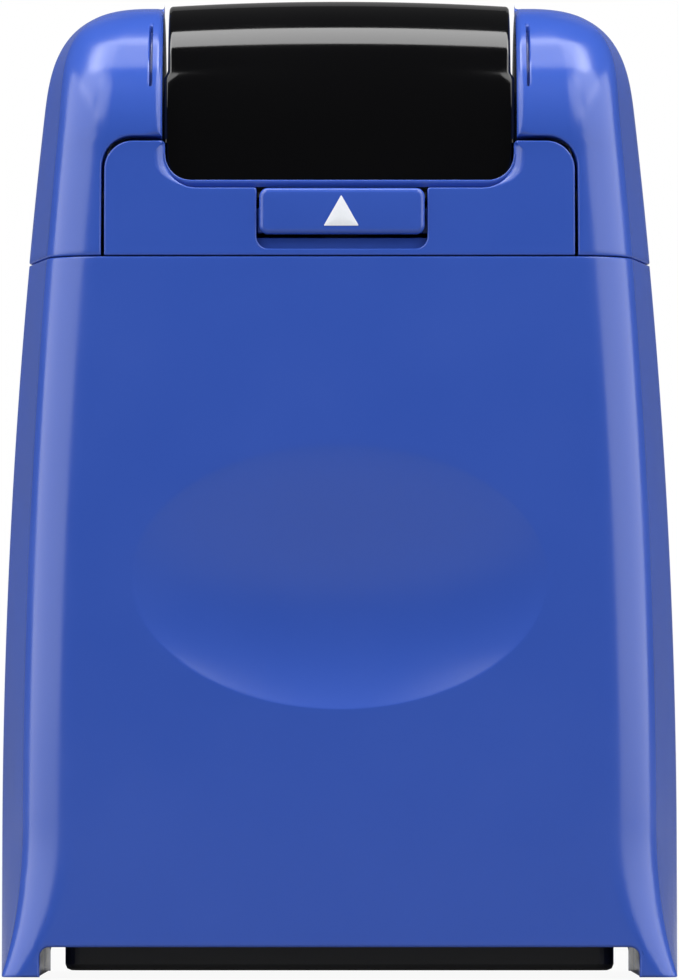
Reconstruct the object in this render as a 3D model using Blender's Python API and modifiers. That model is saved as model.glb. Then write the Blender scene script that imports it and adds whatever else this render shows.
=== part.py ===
"""Privacy roller stamp: a handle of two shells with a flip-up hood over an inked pattern roller.

Metres, +Z up, front towards -Y. The origin lies under the middle of the part, at the feet.
"""

import math

import bmesh
import bpy
import numpy as np
from mathutils import Matrix, Vector

# Clearances
gap = 0.0003  # between pieces that sit on each other
running_gap = 0.00015  # round a shaft in its hole
overrun = 0.0030  # how far a cut runs past what it cuts

# Rollers
print_axis_height = 0.0680
print_radius = 0.0098
print_half_length = 0.0124
sleeve_wall = 0.0017
print_axle_radius = 0.00125
hub_radius = 0.0028
core_rim = 0.0012
core_recess = 0.0040
ink_radius = 0.0036
felt_wall = 0.0019
ink_axle_radius = 0.00075
nip = 0.0003  # between the ink roller and the print roller

# Cartridge frame
ear_thickness = 0.0010
ear_radius = 0.0084
ear_side_gap = 0.0004
frame_margin = 0.0016  # how much shallower it is than the print roller
frame_wall = 0.0012
frame_top_drop = 0.0094  # the frame's cross walls end this far below the print axis

# Visor, round the print roller
visor_room = 0.0022
visor_crown = 0.0004  # how much slimmer the visor is at its ends
visor_wall = 0.0012
visor_end_room = 0.0015
visor_skirt = 0.0003  # how much further its skirts reach than its top
visor_skirt_rise = 0.0053
visor_front_drop = 0.0052
visor_rear_drop = 0.0024
tab_half_gap = 0.0037
tab_width = 0.0015
tab_thickness = 0.0008
tab_length = 0.00185
rib_height = 0.0004
rib_depth = 0.0007
peg_radius = 0.0008
peg_margin = 0.0021
peg_rise = 0.0028  # over the hinge

# Hood, beside and behind the visor
bay_room = 0.0005
arm_drop = 0.0006  # the arms end this far under the visor's top
shoulder_rise = 0.0022  # the shoulders start this far over the print axis
shoulder_power_share = 3.2
cheek_thickness = 0.0011
slit_width = 0.0003
slit_margin = 0.0008
slit_rise = 0.0042
slit_drop = 0.0019
bridge_rise = 0.0010
hinge_drop = 0.0030
hinge_proud = 0.0002
knuckle_radius = 0.0015
pin_radius = 0.00075
body_knuckle_half = 0.0050
hood_knuckle_length = 0.0048

# Body outline
arm_width = 0.01335
crown_margin = 0.0014  # the faces stand this far outside the visor at the crown's start
crown_drop = 0.0010
lean_start = 0.0095  # the sides and faces are upright below this height
lean_rise = 0.0047  # the sides' lean is measured this far over the print axis
side_lean = 0.00369
face_lean = 0.0026  # how far a face leans in by the crown
corner_radius = 0.0045
foot_corner_radius = 0.0016
flare_height = 0.0120  # the corners tighten below this height
side_draft_share = 0.17  # slope of the side walls towards the parting line
foot_draft_share = 0.03
wall = 0.0018
lip_length = 0.0010  # the rear shell's lip, inside the front shell's edge
lip_thickness = 0.0008
seam_drop = 0.0097
foot_height = 0.00242  # the bottom edge between the feet
foot_width = 0.00355
foot_fillet = 0.0008

# Thumb rests
scoop_height = 0.0323
scoop_half_width = 0.0168
scoop_half_height = 0.0107
scoop_depth = 0.0014

# Base plug
plug_side_margin = 0.0020  # between the plug and a foot
plug_face_margin = 0.0030
plug_bottom = 0.0005
plug_top = 0.0087
plug_wall = 0.0015
plug_corner = 0.0016
flange_top = 0.0042  # the shells' bottom flange, round the plug

# Screws and the bosses round them
screw_radius = 0.0010
screw_head_radius = 0.0019
screw_head_height = 0.0015
boss_radius = 0.0028
screw_seat_depth = 0.0100  # how far in from the foot's face a screw head seats
lug_thickness = 0.0018
lug_edge = 0.0032  # from a screw's centre to the edge of its lug
upper_screw_drop = 0.0058
upper_screw_margin = 0.00875
lower_screw_height = 0.0130
lower_screw_margin = 0.01125

# Chassis
well_wall = 0.0014
deck_thickness = 0.0015
deck_rib_height = 0.0007  # a rib on the deck that closes the seam from inside
deck_rib_width = 0.0007
deck_rib_margin = 0.0038  # it stops this far short of the hinge, clear of the hood's swing
well_rise = 0.0013  # the well's front and rear walls above the seam
cheek_rise = 0.0077  # the well's side plates above the seam
cheek_margin = 0.0004

# Front and rear panels
panel_side = 0.00453  # how far they reach past the hood's bay
panel_drop = 0.0007
panel_corner = 0.0021
panel_wall = 0.0013
groove_side = 0.00042
groove_top = 0.00045
notch_room = 0.00025
notch_rise = 0.0014  # over the visor's front edge
notch_corner = 0.0022
rim_step = 0.0005  # the second rim, outside and in front of the first
rim_depth = 0.00045
catch_rise = 0.0002  # the rim's middle, over the latch
catch_half_width = 0.0054
rear_panel_drop = 0.0004
clip_thickness = 0.0012
clip_height = 0.0046
clip_end = 0.0060

# Release button
button_half_width = 0.00665
button_rise = 0.0017  # over the seam
button_height = 0.0036
button_corner = 0.0007
button_proud = 0.0005
button_thickness = 0.0015
window_margin = 0.0002
recess_depth = 0.0009
recess_rise = 0.0004
recess_corner = 0.0010
stop_thickness = 0.0006
stop_reach = 0.0010
hook_thickness = 0.0005
hook_bar_height = 0.0006
nose_length = 0.0003
nose_height = 0.00045
spring_radius = 0.00095
spring_wire_radius = 0.00015
spring_turns = 4
seat_half_width = 0.0015
seat_thickness = 0.0009
seat_rise = 0.0032

# Facets
arc_steps = 6
crown_steps = 9
lean_steps = 8
round_sides = 24
roller_sides = 36

# Widths, from the print roller outwards
frame_half_width = print_half_length + ear_side_gap + ear_thickness
visor_half_width = print_half_length + visor_end_room
visor_skirt_half_width = visor_half_width + visor_skirt
bay_half_width = visor_half_width + bay_room
notch_half_width = visor_half_width + notch_room
panel_half_width = bay_half_width + panel_side
peg_side = visor_half_width - peg_margin
slit_side = bay_half_width + slit_margin
foot_half_width = bay_half_width + arm_width
plug_half_width = foot_half_width - foot_width - plug_side_margin
upper_screw_side = foot_half_width - upper_screw_margin
lower_screw_side = foot_half_width - lower_screw_margin
well_half_width = frame_half_width + gap

# Depths, from the print roller outwards
frame_half_depth = print_radius - frame_margin
well_half_depth = frame_half_depth + gap
cheek_half_depth = frame_half_depth - cheek_margin
visor_radius = print_radius + visor_room
crown_half_depth = visor_radius + crown_margin
hinge_depth = crown_half_depth + hinge_proud
deck_rib_end = hinge_depth - deck_rib_margin
foot_half_depth = crown_half_depth + face_lean
plug_half_depth = foot_half_depth - plug_face_margin
boss_wall_seat = foot_half_depth - screw_seat_depth
screw_length = boss_wall_seat * 2

# Heights, from the print roller's axis
arm_top = print_axis_height + visor_radius - arm_drop
crown_start = print_axis_height - crown_drop
shoulder_start = print_axis_height + shoulder_rise
lean_top = print_axis_height + lean_rise
slit_bottom = print_axis_height + slit_rise
slit_top = arm_top - slit_drop
visor_skirt_top = print_axis_height + visor_skirt_rise
visor_front_end = print_axis_height - visor_front_drop
visor_rear_end = print_axis_height - visor_rear_drop
tab_end = visor_front_end - tab_length
bridge_top = print_axis_height + bridge_rise
hinge_height = print_axis_height - hinge_drop
peg_height = hinge_height + peg_rise
panel_top = print_axis_height - panel_drop
rear_panel_top = hinge_height - rear_panel_drop
notch_bottom = visor_front_end + notch_rise
seam_height = print_axis_height - seam_drop
button_bottom = seam_height + button_rise
button_top = button_bottom + button_height
recess_bottom = seam_height + recess_rise
upper_screw_height = seam_height - upper_screw_drop
deck_top = seam_height - gap / 2
ink_axis_height = print_axis_height - print_radius - nip - ink_radius
frame_bottom = ink_axis_height - ink_radius - frame_wall - gap
well_floor = frame_bottom - gap

far = foot_half_width + foot_half_depth  # beyond every side of the part
above = print_axis_height + visor_radius + overrun  # over its top

part_name = "privacy_roller_stamp"
blue = (0.046, 0.094, 0.410)
black = (0.006, 0.006, 0.007)
rubber = (0.030, 0.030, 0.034)
ink = (0.012, 0.012, 0.016)
cream = (0.560, 0.545, 0.500)
steel = (0.560, 0.570, 0.580)


def clear_scene():
    """Empties the file and makes the two collections."""
    for thing in list(bpy.data.objects):
        bpy.data.objects.remove(thing, do_unlink=True)
    made = []
    for name in (part_name, "cutters"):
        collection = bpy.data.collections.new(name)
        bpy.context.scene.collection.children.link(collection)
        made.append(collection)
    return made


def material(name, colour, roughness, metallic=0.0):
    """A Principled material in one colour."""
    made = bpy.data.materials.new(name)
    made.use_nodes = True
    shader = made.node_tree.nodes["Principled BSDF"]
    shader.inputs["Base Color"].default_value = (*colour, 1.0)
    shader.inputs["Roughness"].default_value = roughness
    shader.inputs["Metallic"].default_value = metallic
    made.diffuse_color = (*colour, 1.0)
    return made


def from_bmesh(name, mesh):
    """An object of a bmesh, among the cutters until a piece takes it over."""
    if mesh.calc_volume(signed=True) < 0:
        bmesh.ops.reverse_faces(mesh, faces=mesh.faces)
    data = bpy.data.meshes.new(name)
    mesh.to_mesh(data)
    mesh.free()
    thing = bpy.data.objects.new(name, data)
    cutters.objects.link(thing)
    thing.hide_render = True
    thing.display_type = "WIRE"
    return thing


def piece(thing, name, colour, roughness, metallic=0.0, origin=None):
    """Makes an object one of the part's pieces, with its own material and its origin in place."""
    if origin is not None:
        thing.data.transform(Matrix.Translation(-Vector(origin)))
        thing.location = origin
    cutters.objects.unlink(thing)
    part.objects.link(thing)
    thing.name = name
    thing.hide_render = False
    thing.display_type = "TEXTURED"
    thing.data.materials.append(material(name, colour, roughness, metallic))
    thing.data.shade_smooth()
    thing.data.set_sharp_from_angle(angle=math.radians(30))
    return thing


def block(name, low, high, along=None, radius=0.0):
    """A box between two corners, its edges along one axis rounded."""
    mesh = bmesh.new()
    bmesh.ops.create_cube(mesh, size=1.0)
    low, high = Vector(low), Vector(high)
    size = high - low
    middle = (high + low) / 2
    mesh.transform(Matrix.Translation(middle) @ Matrix.Diagonal((*size, 1.0)))
    if along is not None:
        across = [i for i in range(3) if i != along]
        edges = [e for e in mesh.edges
                 if all(abs(e.verts[0].co[i] - e.verts[1].co[i]) < gap / 2 for i in across)]
        bmesh.ops.bevel(mesh, geom=edges, offset=radius, offset_type="OFFSET",
                        segments=arc_steps, profile=0.5, affect="EDGES")
    return from_bmesh(name, mesh)


def rod(name, radius, along, start, end, centre, sides=round_sides):
    """A cylinder along one axis, from start to end, round a centre line."""
    mesh = bmesh.new()
    bmesh.ops.create_cone(mesh, cap_ends=True, segments=sides, radius1=radius,
                          radius2=radius, depth=end - start)
    turn = {0: Matrix.Rotation(math.pi / 2, 4, "Y"),
            1: Matrix.Rotation(math.pi / 2, 4, "X"),
            2: Matrix.Identity(4)}[along]
    place = Vector(centre)
    place[along] = (start + end) / 2
    mesh.transform(Matrix.Translation(place) @ turn)
    return from_bmesh(name, mesh)


def turned(name, outline, height, sides=roller_sides):
    """A piece turned about an axis along X, from its (x, radius) outline."""
    mesh = bpy.data.meshes.new(name)
    points = [(radius, 0.0, x) for x, radius in reversed(outline)]
    edges = [(i, (i + 1) % len(points)) for i in range(len(points))]
    mesh.from_pydata(points, edges, [])
    thing = bpy.data.objects.new(name, mesh)
    cutters.objects.link(thing)
    screw = thing.modifiers.new("turn", "SCREW")
    screw.axis = "Z"
    screw.steps = sides
    screw.render_steps = sides
    screw.use_merge_vertices = True
    screw.merge_threshold = 0.000001
    thing.rotation_euler = (0.0, math.pi / 2, 0.0)
    thing.location = (0.0, 0.0, height)
    return thing


def loft(name, rings):
    """Skins rings of equal count, bottom to top, and caps both ends."""
    rings = np.asarray(rings)
    count = rings.shape[1]
    mesh = bmesh.new()
    rows = [[mesh.verts.new(p) for p in ring] for ring in rings]
    for lower, upper in zip(rows, rows[1:]):
        for i in range(count):
            j = (i + 1) % count
            mesh.faces.new((lower[i], lower[j], upper[j], upper[i]))
    mesh.faces.new(rows[0][::-1])
    mesh.faces.new(rows[-1])
    return from_bmesh(name, mesh)


def boolean(thing, other, operation="DIFFERENCE"):
    """Adds a Boolean to an object."""
    step = thing.modifiers.new(other.name, "BOOLEAN")
    step.operation = operation
    step.solver = "EXACT"
    step.object = other
    return thing


def join(thing, *others):
    """Adds each of the others to an object."""
    for other in others:
        boolean(thing, other, "UNION")
    return thing


def cut(thing, *others):
    """Takes each of the others out of an object."""
    for other in others:
        boolean(thing, other)
    return thing


def lean(height, lean_height, amount):
    """How far an outline has leaned in at a height, on one long arc from lean_start."""
    rise = lean_height - lean_start
    radius = (rise ** 2 + amount ** 2) / (2 * amount)
    up = max(height - lean_start, 0.0)
    return radius - math.sqrt(radius ** 2 - up ** 2)


def half_width(height, inset):
    """The body's half width, with the shoulders rounded as a superellipse."""
    width = foot_half_width - lean(height, lean_top, side_lean) - inset
    if height > shoulder_start:
        share = min((height - shoulder_start) / (arm_top - inset - shoulder_start), 1.0)
        power = shoulder_power_share
        width = bay_half_width + (width - bay_half_width) * (1 - share ** power) ** (1 / power)
    return width


def half_depth(height, inset):
    """The body's half depth, with the crown as half an ellipse."""
    depth = foot_half_depth - lean(min(height, crown_start), crown_start, face_lean) - inset
    if height > crown_start:
        share = min((height - crown_start) / (arm_top - inset - crown_start), 1.0)
        depth *= math.sqrt(1 - share ** 2)
    return depth


def ring(height, inset):
    """One level section: flat faces, round corners and drafted sides, counter-clockwise."""
    width, depth = half_width(height, inset), half_depth(height, inset)
    flare = min(max(height / flare_height, 0.0), 1.0)
    flare = flare * (2 - flare)
    radius = foot_corner_radius + (corner_radius - foot_corner_radius) * flare
    slope = foot_draft_share + (side_draft_share - foot_draft_share) * flare
    radius = min(max(radius - inset, foot_corner_radius), depth * 9 / 10)
    tilt = math.atan(slope)
    flat = width - radius * math.cos(tilt) - slope * (depth - radius + radius * math.sin(tilt))
    turn = np.linspace(-math.pi / 2, -tilt, arc_steps + 1)
    x = flat + radius * np.cos(turn)
    y = -(depth - radius) + radius * np.sin(turn)
    right = np.concatenate([np.column_stack([x, y]), [[width, 0.0]],
                            np.column_stack([x, -y])[::-1]])
    level = np.concatenate([right, right[::-1] * (-1, 1)])
    return np.column_stack([level, np.full(len(level), height)])


def body_form(name, bottom, top, inset=0.0):
    """The body's outline between two heights, or to its crown, drawn in by inset."""
    crown = arm_top - inset - crown_start
    end = min(top, crown_start + crown * math.sin(math.pi * 15 / 32))
    turn = np.linspace(0.0, math.pi / 2, crown_steps + 1)
    marks = [*np.linspace(0.0, flare_height, 4), *np.linspace(flare_height, crown_start, lean_steps),
             *(crown_start + crown * np.sin(turn))]
    heights = [bottom]
    for height in marks:
        if heights[-1] + gap < height < end - gap:
            heights.append(height)
    heights.append(end)
    return loft(name, [ring(height, inset) for height in heights])


def scoop(name, side):
    """The hollow for a thumb: a shallow bowl with an oval rim."""
    ball = 4.0  # the bowl is the end of a ball this many times deeper
    deep = scoop_depth * ball
    share = math.sqrt(1 - (1 - 1 / ball) ** 2)
    mesh = bmesh.new()
    bmesh.ops.create_uvsphere(mesh, u_segments=roller_sides, v_segments=roller_sides, radius=1.0)
    size = Matrix.Diagonal((scoop_half_width / share, scoop_half_height / share, deep, 1.0))
    face = half_depth(scoop_height, 0.0)
    place = Matrix.Translation((0.0, side * (face + deep - scoop_depth), scoop_height))
    slope = math.atan2(half_depth(scoop_height - scoop_half_height, 0.0)
                       - half_depth(scoop_height + scoop_half_height, 0.0), 2 * scoop_half_height)
    stand = Matrix.Rotation(math.pi / 2 + side * slope, 4, "X")
    mesh.transform(place @ stand @ size)
    return from_bmesh(name, mesh)


def screw_places():
    """Each screw's name, x and z."""
    places = []
    for level, x, z in (("upper", upper_screw_side, upper_screw_height),
                        ("lower", lower_screw_side, lower_screw_height)):
        places.append((f"screw_{level}_left", -x, z))
        places.append((f"screw_{level}_right", x, z))
    return places


def shell(name, side):
    """Half of the handle: a hollow moulding with feet, bosses and a thumb rest."""
    top = seam_height - gap / 2
    form = body_form(f"{name}_form", 0.0, top)
    hollow = body_form(f"{name}_hollow", flange_top, top + overrun, wall)
    socket = block(f"{name}_socket", (-plug_half_width - gap, -plug_half_depth - gap, -overrun),
                   (plug_half_width + gap, plug_half_depth + gap, flange_top + gap),
                   2, plug_corner + gap)
    arch_half = foot_half_width - foot_width
    arch = block(f"{name}_arch", (-arch_half, -far, -overrun), (arch_half, far, foot_height),
                 1, foot_fillet)
    if side > 0:
        other = block(f"{name}_other", (-far, -far, -overrun), (far, gap / 2, top + overrun))
        lip = body_form(f"{name}_lip", foot_height, top + overrun, wall - lip_thickness)
        cut(lip, block(f"{name}_lip_end", (-far, -far, -overrun), (far, -lip_length, above)))
        cut(other, lip)
    else:
        other = block(f"{name}_other", (-far, -gap / 2, -overrun), (far, far, top + overrun))
        inner = wall - lip_thickness - gap
        groove = body_form(f"{name}_groove", foot_height - gap, top + overrun, inner)
        cut(groove, block(f"{name}_groove_end", (-far, -far, -overrun), (far, -lip_length - gap, above)))
        join(other, groove)
    cut(form, hollow)
    boss_end = lug_thickness / 2 + gap
    for screw, x, z in screw_places():
        reach = half_depth(z, wall / 2)
        ends = sorted((side * boss_end, side * reach))
        boss = rod(f"{name}_{screw}_boss", boss_radius, 1, *ends, (x, 0.0, z))
        join(form, boss)
    cut(form, socket, arch, other, scoop(f"{name}_scoop", side))
    for screw, x, z in screw_places():
        if side > 0:
            hole = rod(f"{name}_{screw}_hole", screw_radius + running_gap, 1, 0.0,
                       boss_wall_seat + gap, (x, 0.0, z))
            head = rod(f"{name}_{screw}_head", screw_head_radius + gap, 1, boss_wall_seat, far,
                       (x, 0.0, z))
            cut(form, hole, head)
        else:
            depth = screw_length - boss_wall_seat + gap
            hole = rod(f"{name}_{screw}_hole", screw_radius + running_gap, 1, -depth, 0.0,
                       (x, 0.0, z))
            cut(form, hole)
    return piece(form, name, blue, 0.34)


def screws():
    """Four alike screws, from the back through the lugs into the front shell."""
    for name, x, z in screw_places():
        seat = boss_wall_seat + gap
        shank = rod(f"{name}_shank", screw_radius, 1, seat - screw_length, seat + screw_head_height / 2,
                    (x, 0.0, z))
        head = rod(f"{name}_cap", screw_head_radius, 1, seat, seat + screw_head_height, (x, 0.0, z))
        slot = screw_radius / 2
        cross = block(f"{name}_slot", (x - slot * 2, seat + screw_head_height * 2 / 3, z - slot / 2),
                      (x + slot * 2, seat + screw_head_height + overrun, z + slot / 2))
        join(head, shank)
        cut(head, cross)
        piece(head, name, steel, 0.3, 1.0)


def lug(name, x, z, end):
    """A flat lug that a screw pair clamps, reaching from below or above it to end."""
    low, high = sorted((end, z + math.copysign(lug_edge, z - end)))
    return block(name, (x - lug_edge, -lug_thickness / 2, low), (x + lug_edge, lug_thickness / 2, high))


def lug_hole(name, x, z):
    """The hole through a lug."""
    return rod(name, screw_radius + running_gap, 1, -far, far, (x, 0.0, z))


def base_plug():
    """The black tray that closes the handle between its feet."""
    tray = block("plug_form", (-plug_half_width, -plug_half_depth, plug_bottom),
                 (plug_half_width, plug_half_depth, plug_top), 2, plug_corner)
    chamfer = tray.modifiers.new("edge", "BEVEL")
    chamfer.width = plug_wall / 3
    chamfer.segments = 2
    chamfer.angle_limit = math.radians(60)
    inside = block("plug_inside",
                   (-plug_half_width + plug_wall, -plug_half_depth + plug_wall, plug_bottom + plug_wall),
                   (plug_half_width - plug_wall, plug_half_depth - plug_wall, plug_top + overrun),
                   2, plug_corner - plug_wall / 2)
    cut(tray, inside)
    floor = plug_bottom + plug_wall / 2
    for screw, x, z in screw_places()[2:]:
        join(tray, lug(f"plug_{screw}_lug", x, z, floor))
    for screw, x, z in screw_places()[2:]:
        cut(tray, lug_hole(f"plug_{screw}_hole", x, z))
    return piece(tray, "base_plug", black, 0.42)


def chassis():
    """The moulding inside the handle's mouth: a deck with the cartridge's well in it."""
    deck = body_form("deck_form", deck_top - deck_thickness, deck_top, wall + gap)
    outer_width, outer_depth = well_half_width + well_wall, well_half_depth + well_wall
    well = block("well_form", (-outer_width, -outer_depth, well_floor - well_wall),
                 (outer_width, outer_depth, deck_top + well_rise))
    plates = block("well_plates", (-outer_width, -cheek_half_depth, deck_top - deck_thickness),
                   (outer_width, cheek_half_depth, deck_top + cheek_rise), 0, well_wall)
    seat = block("spring_seat", (-seat_half_width, -outer_depth, deck_top + well_rise / 2),
                 (seat_half_width, seat_thickness - outer_depth, deck_top + well_rise + seat_rise))
    join(deck, well)
    for screw, x, z in screw_places()[:2]:
        join(deck, lug(f"chassis_{screw}_lug", x, z, deck_top - deck_thickness / 2))
    join(deck, plates, seat)
    rib = body_form("deck_rib", deck_top - deck_rib_width, deck_top + deck_rib_height, wall + gap)
    cut(rib, body_form("deck_rib_inside", deck_top - overrun, deck_top + overrun,
                       wall + gap + deck_rib_width),
        block("deck_rib_end", (-far, deck_rib_end, 0.0), (far, far, above)))
    join(deck, rib)
    inside = block("well_inside", (-well_half_width, -well_half_depth, well_floor),
                   (well_half_width, well_half_depth, above))
    for screw, x, z in screw_places()[:2]:
        cut(deck, lug_hole(f"chassis_{screw}_hole", x, z))
    cut(deck, inside)
    return piece(deck, "chassis", blue, 0.38)


def cartridge_frame():
    """The ink cartridge's frame: a trough with an ear at each end."""
    top = print_axis_height - frame_top_drop
    reach = frame_half_width + overrun
    form = block("frame_form", (-reach, -frame_half_depth, frame_bottom),
                 (reach, frame_half_depth, print_axis_height - print_axle_radius / 2))
    ear = rod("frame_ears", ear_radius, 0, -far, far, (0.0, 0.0, print_axis_height), roller_sides)
    ends = block("frame_ends", (-frame_half_width, -far, 0.0), (frame_half_width, far, above))
    inner = frame_half_width - ear_thickness
    between = block("frame_between", (-inner, -far, top), (inner, far, above))
    trough = block("frame_trough", (-inner, -frame_half_depth + frame_wall, frame_bottom + frame_wall),
                   (inner, frame_half_depth - frame_wall, above))
    join(form, ear)
    boolean(form, ends, "INTERSECT")
    cut(form, between, trough)
    for name, radius, height in (("frame_print_hole", print_axle_radius, print_axis_height),
                                 ("frame_ink_hole", ink_axle_radius, ink_axis_height)):
        cut(form, rod(name, radius + running_gap, 0, -far, far, (0.0, 0.0, height)))
    return piece(form, "cartridge_frame", black, 0.5)


def print_roller():
    """The print roller: a rubber sleeve on a moulded core, turning on a steel axle."""
    half = print_half_length
    core_radius = print_radius - sleeve_wall - running_gap
    bore = print_axle_radius + running_gap
    rim = core_radius - core_rim
    outline = [(-half, bore), (-half, hub_radius), (-half + core_recess, hub_radius),
               (-half + core_recess, rim), (-half, rim), (-half, core_radius),
               (half, core_radius), (half, rim), (half - core_recess, rim),
               (half - core_recess, hub_radius), (half, hub_radius), (half, bore)]
    core = turned("print_core", outline, print_axis_height)
    piece(core, "print_core", cream, 0.5)
    bore = print_radius - sleeve_wall
    sleeve = turned("print_sleeve", [(-half, bore), (-half, print_radius), (half, print_radius),
                                     (half, bore)], print_axis_height)
    piece(sleeve, "print_sleeve", rubber, 0.6)
    axle = rod("print_axle", print_axle_radius, 0, -frame_half_width, frame_half_width,
               (0.0, 0.0, print_axis_height))
    piece(axle, "print_axle", steel, 0.25, 1.0)


def ink_roller():
    """The ink roller: a felt sleeve on a tube, against the print roller from below."""
    half = print_half_length - ear_side_gap / 2
    bore = ink_axle_radius + running_gap
    core_radius = ink_radius - felt_wall - running_gap
    core = turned("ink_core", [(-half, bore), (-half, core_radius), (half, core_radius),
                               (half, bore)], ink_axis_height, round_sides)
    piece(core, "ink_core", cream, 0.5)
    bore = ink_radius - felt_wall
    half -= ear_side_gap
    felt = turned("ink_felt", [(-half, bore), (-half, ink_radius), (half, ink_radius),
                               (half, bore)], ink_axis_height, round_sides)
    piece(felt, "ink_felt", ink, 0.95)
    axle = rod("ink_axle", ink_axle_radius, 0, -frame_half_width, frame_half_width,
               (0.0, 0.0, ink_axis_height))
    piece(axle, "ink_axle", steel, 0.25, 1.0)


def panel_skin(name, side, top):
    """A panel's curved wall between the arms, from the seam up, with two clips behind it."""
    bottom = seam_height + gap / 2
    skin = body_form(f"{name}_form", bottom, top + overrun)
    hollow = body_form(f"{name}_hollow", bottom - overrun, top + overrun * 2, panel_wall)
    outline = block(f"{name}_outline", (-panel_half_width, -far, bottom - overrun),
                    (panel_half_width, far, top), 1, panel_corner)
    other = block(f"{name}_other", (-far, -overrun, 0.0), (far, far, above))
    if side > 0:
        other.data.transform(Matrix.Translation((0.0, overrun - far, 0.0)))
    cut(skin, hollow, other)
    boolean(skin, outline, "INTERSECT")
    wall_inside = half_depth(bottom, panel_wall / 2)
    clip_start = well_half_width + well_wall + gap
    for turn in (-1, 1):
        x = sorted((turn * clip_start, turn * (clip_start + clip_thickness)))
        y = sorted((side * clip_end, side * (wall_inside - panel_wall / 2)))
        low = deck_top + deck_rib_height + gap
        clip = block(f"{name}_clip_{turn}", (x[0], y[0], low), (x[1], y[1], bottom + clip_height))
        join(skin, clip)
    return skin


def front_panel():
    """The panel under the visor, with the notch, its double rim and the button's window."""
    skin = panel_skin("front_panel", -1, panel_top)
    face = half_depth(notch_bottom, 0.0)
    notch = block("notch", (-notch_half_width, -far, notch_bottom),
                  (notch_half_width, 0.0, above), 1, notch_corner)
    raised = block("catch", (-catch_half_width, -face + rim_depth, notch_bottom - rim_step),
                   (catch_half_width, -face + panel_wall - gap / 3, notch_bottom + catch_rise))
    rim = block("rim", (-notch_half_width - rim_step, -far, notch_bottom - rim_step),
                (notch_half_width + rim_step, -face + rim_depth, above), 1, notch_corner + rim_step)
    cut(skin, notch, rim)
    join(skin, raised)
    middle = (button_bottom + button_top) / 2
    side = button_half_width + window_margin
    recess = block("recess", (-side, -far, recess_bottom),
                   (side, -half_depth(middle, 0.0) + recess_depth, notch_bottom - rim_step),
                   1, recess_corner)
    upper = block("recess_top", (-side, -far, middle),
                  (side, -half_depth(middle, 0.0) + recess_depth, notch_bottom - rim_step))
    window = block("window", (-side, -far, button_bottom - window_margin),
                   (side, 0.0, button_top + window_margin / 2))
    cut(skin, recess, upper, window)
    return piece(skin, "front_panel", blue, 0.34)


def rear_panel():
    """The panel at the back, with the middle knuckle of the hinge on its edge."""
    skin = panel_skin("rear_panel", 1, rear_panel_top)
    relief = body_knuckle_half + gap / 2
    reach = relief + hood_knuckle_length + gap
    for turn in (-1, 1):
        x = sorted((turn * relief, turn * reach))
        cut(skin, rod(f"rear_relief_{turn}", knuckle_radius + gap, 0, *x,
                      (0.0, hinge_depth, hinge_height)))
    knuckle = rod("rear_knuckle", knuckle_radius, 0, -body_knuckle_half, body_knuckle_half,
                  (0.0, hinge_depth, hinge_height))
    bore = rod("rear_bore", pin_radius + running_gap, 0, -far, far, (0.0, hinge_depth, hinge_height))
    join(skin, knuckle)
    cut(skin, bore)
    return piece(skin, "rear_panel", blue, 0.34)


def hinge_pin():
    """The steel pin through all the knuckles."""
    half = body_knuckle_half + gap + hood_knuckle_length
    pin = rod("hinge_pin", pin_radius, 0, -half, half, (0.0, hinge_depth, hinge_height))
    return piece(pin, "hinge_pin", steel, 0.25, 1.0)


def hood():
    """The flip-up hood: two hollow arms and the bridge that joins them at the back."""
    bottom = seam_height + gap / 2
    form = body_form("hood_form", bottom, arm_top)
    hollow = body_form("hood_hollow", bottom - overrun, arm_top, wall)
    solid = bay_half_width + cheek_thickness
    cheeks = block("hood_cheeks", (-solid, -far, 0.0), (solid, far, above))
    cut(hollow, cheeks)
    inner_rear = hinge_depth - panel_wall
    bay = block("hood_bay", (-bay_half_width, -far, 0.0), (bay_half_width, inner_rear, above))
    bay_top = block("hood_bay_top", (-bay_half_width, -far, bridge_top),
                    (bay_half_width, far, above))
    side = panel_half_width + groove_side
    front = block("hood_front_window", (-side, -far, 0.0),
                  (side, inner_rear, panel_top + groove_top), 1, panel_corner + groove_top)
    rear = block("hood_rear_window", (-side, 0.0, 0.0),
                 (side, far, rear_panel_top + groove_top), 1, panel_corner + groove_top)
    cut(form, hollow, bay, bay_top, front, rear)
    for turn in (-1, 1):
        x = sorted((turn * slit_side, turn * (slit_side + slit_width)))
        for face in (-1, 1):
            y = sorted((face * cheek_half_depth / 3, face * far))
            cut(form, block(f"slit_{turn}_{face}", (x[0], y[0], slit_bottom), (x[1], y[1], slit_top)))
    axis = (0.0, hinge_depth, hinge_height)
    relief = body_knuckle_half + gap / 2
    cut(form, rod("hood_relief", knuckle_radius + gap, 0, -relief, relief, axis))
    start = body_knuckle_half + gap
    for turn in (-1, 1):
        x = sorted((turn * start, turn * (start + hood_knuckle_length)))
        join(form, rod(f"hood_knuckle_{turn}", knuckle_radius, 0, *x, axis))
    cut(form, rod("hood_bore", pin_radius + running_gap, 0, -start - hood_knuckle_length - overrun,
                  start + hood_knuckle_length + overrun, axis))
    for turn in (-1, 1):
        cut(form, rod(f"peg_hole_{turn}", peg_radius + running_gap, 1, 0.0, far,
                      (turn * peg_side, 0.0, peg_height)))
    return piece(form, "hood", blue, 0.34, origin=axis)


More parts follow.
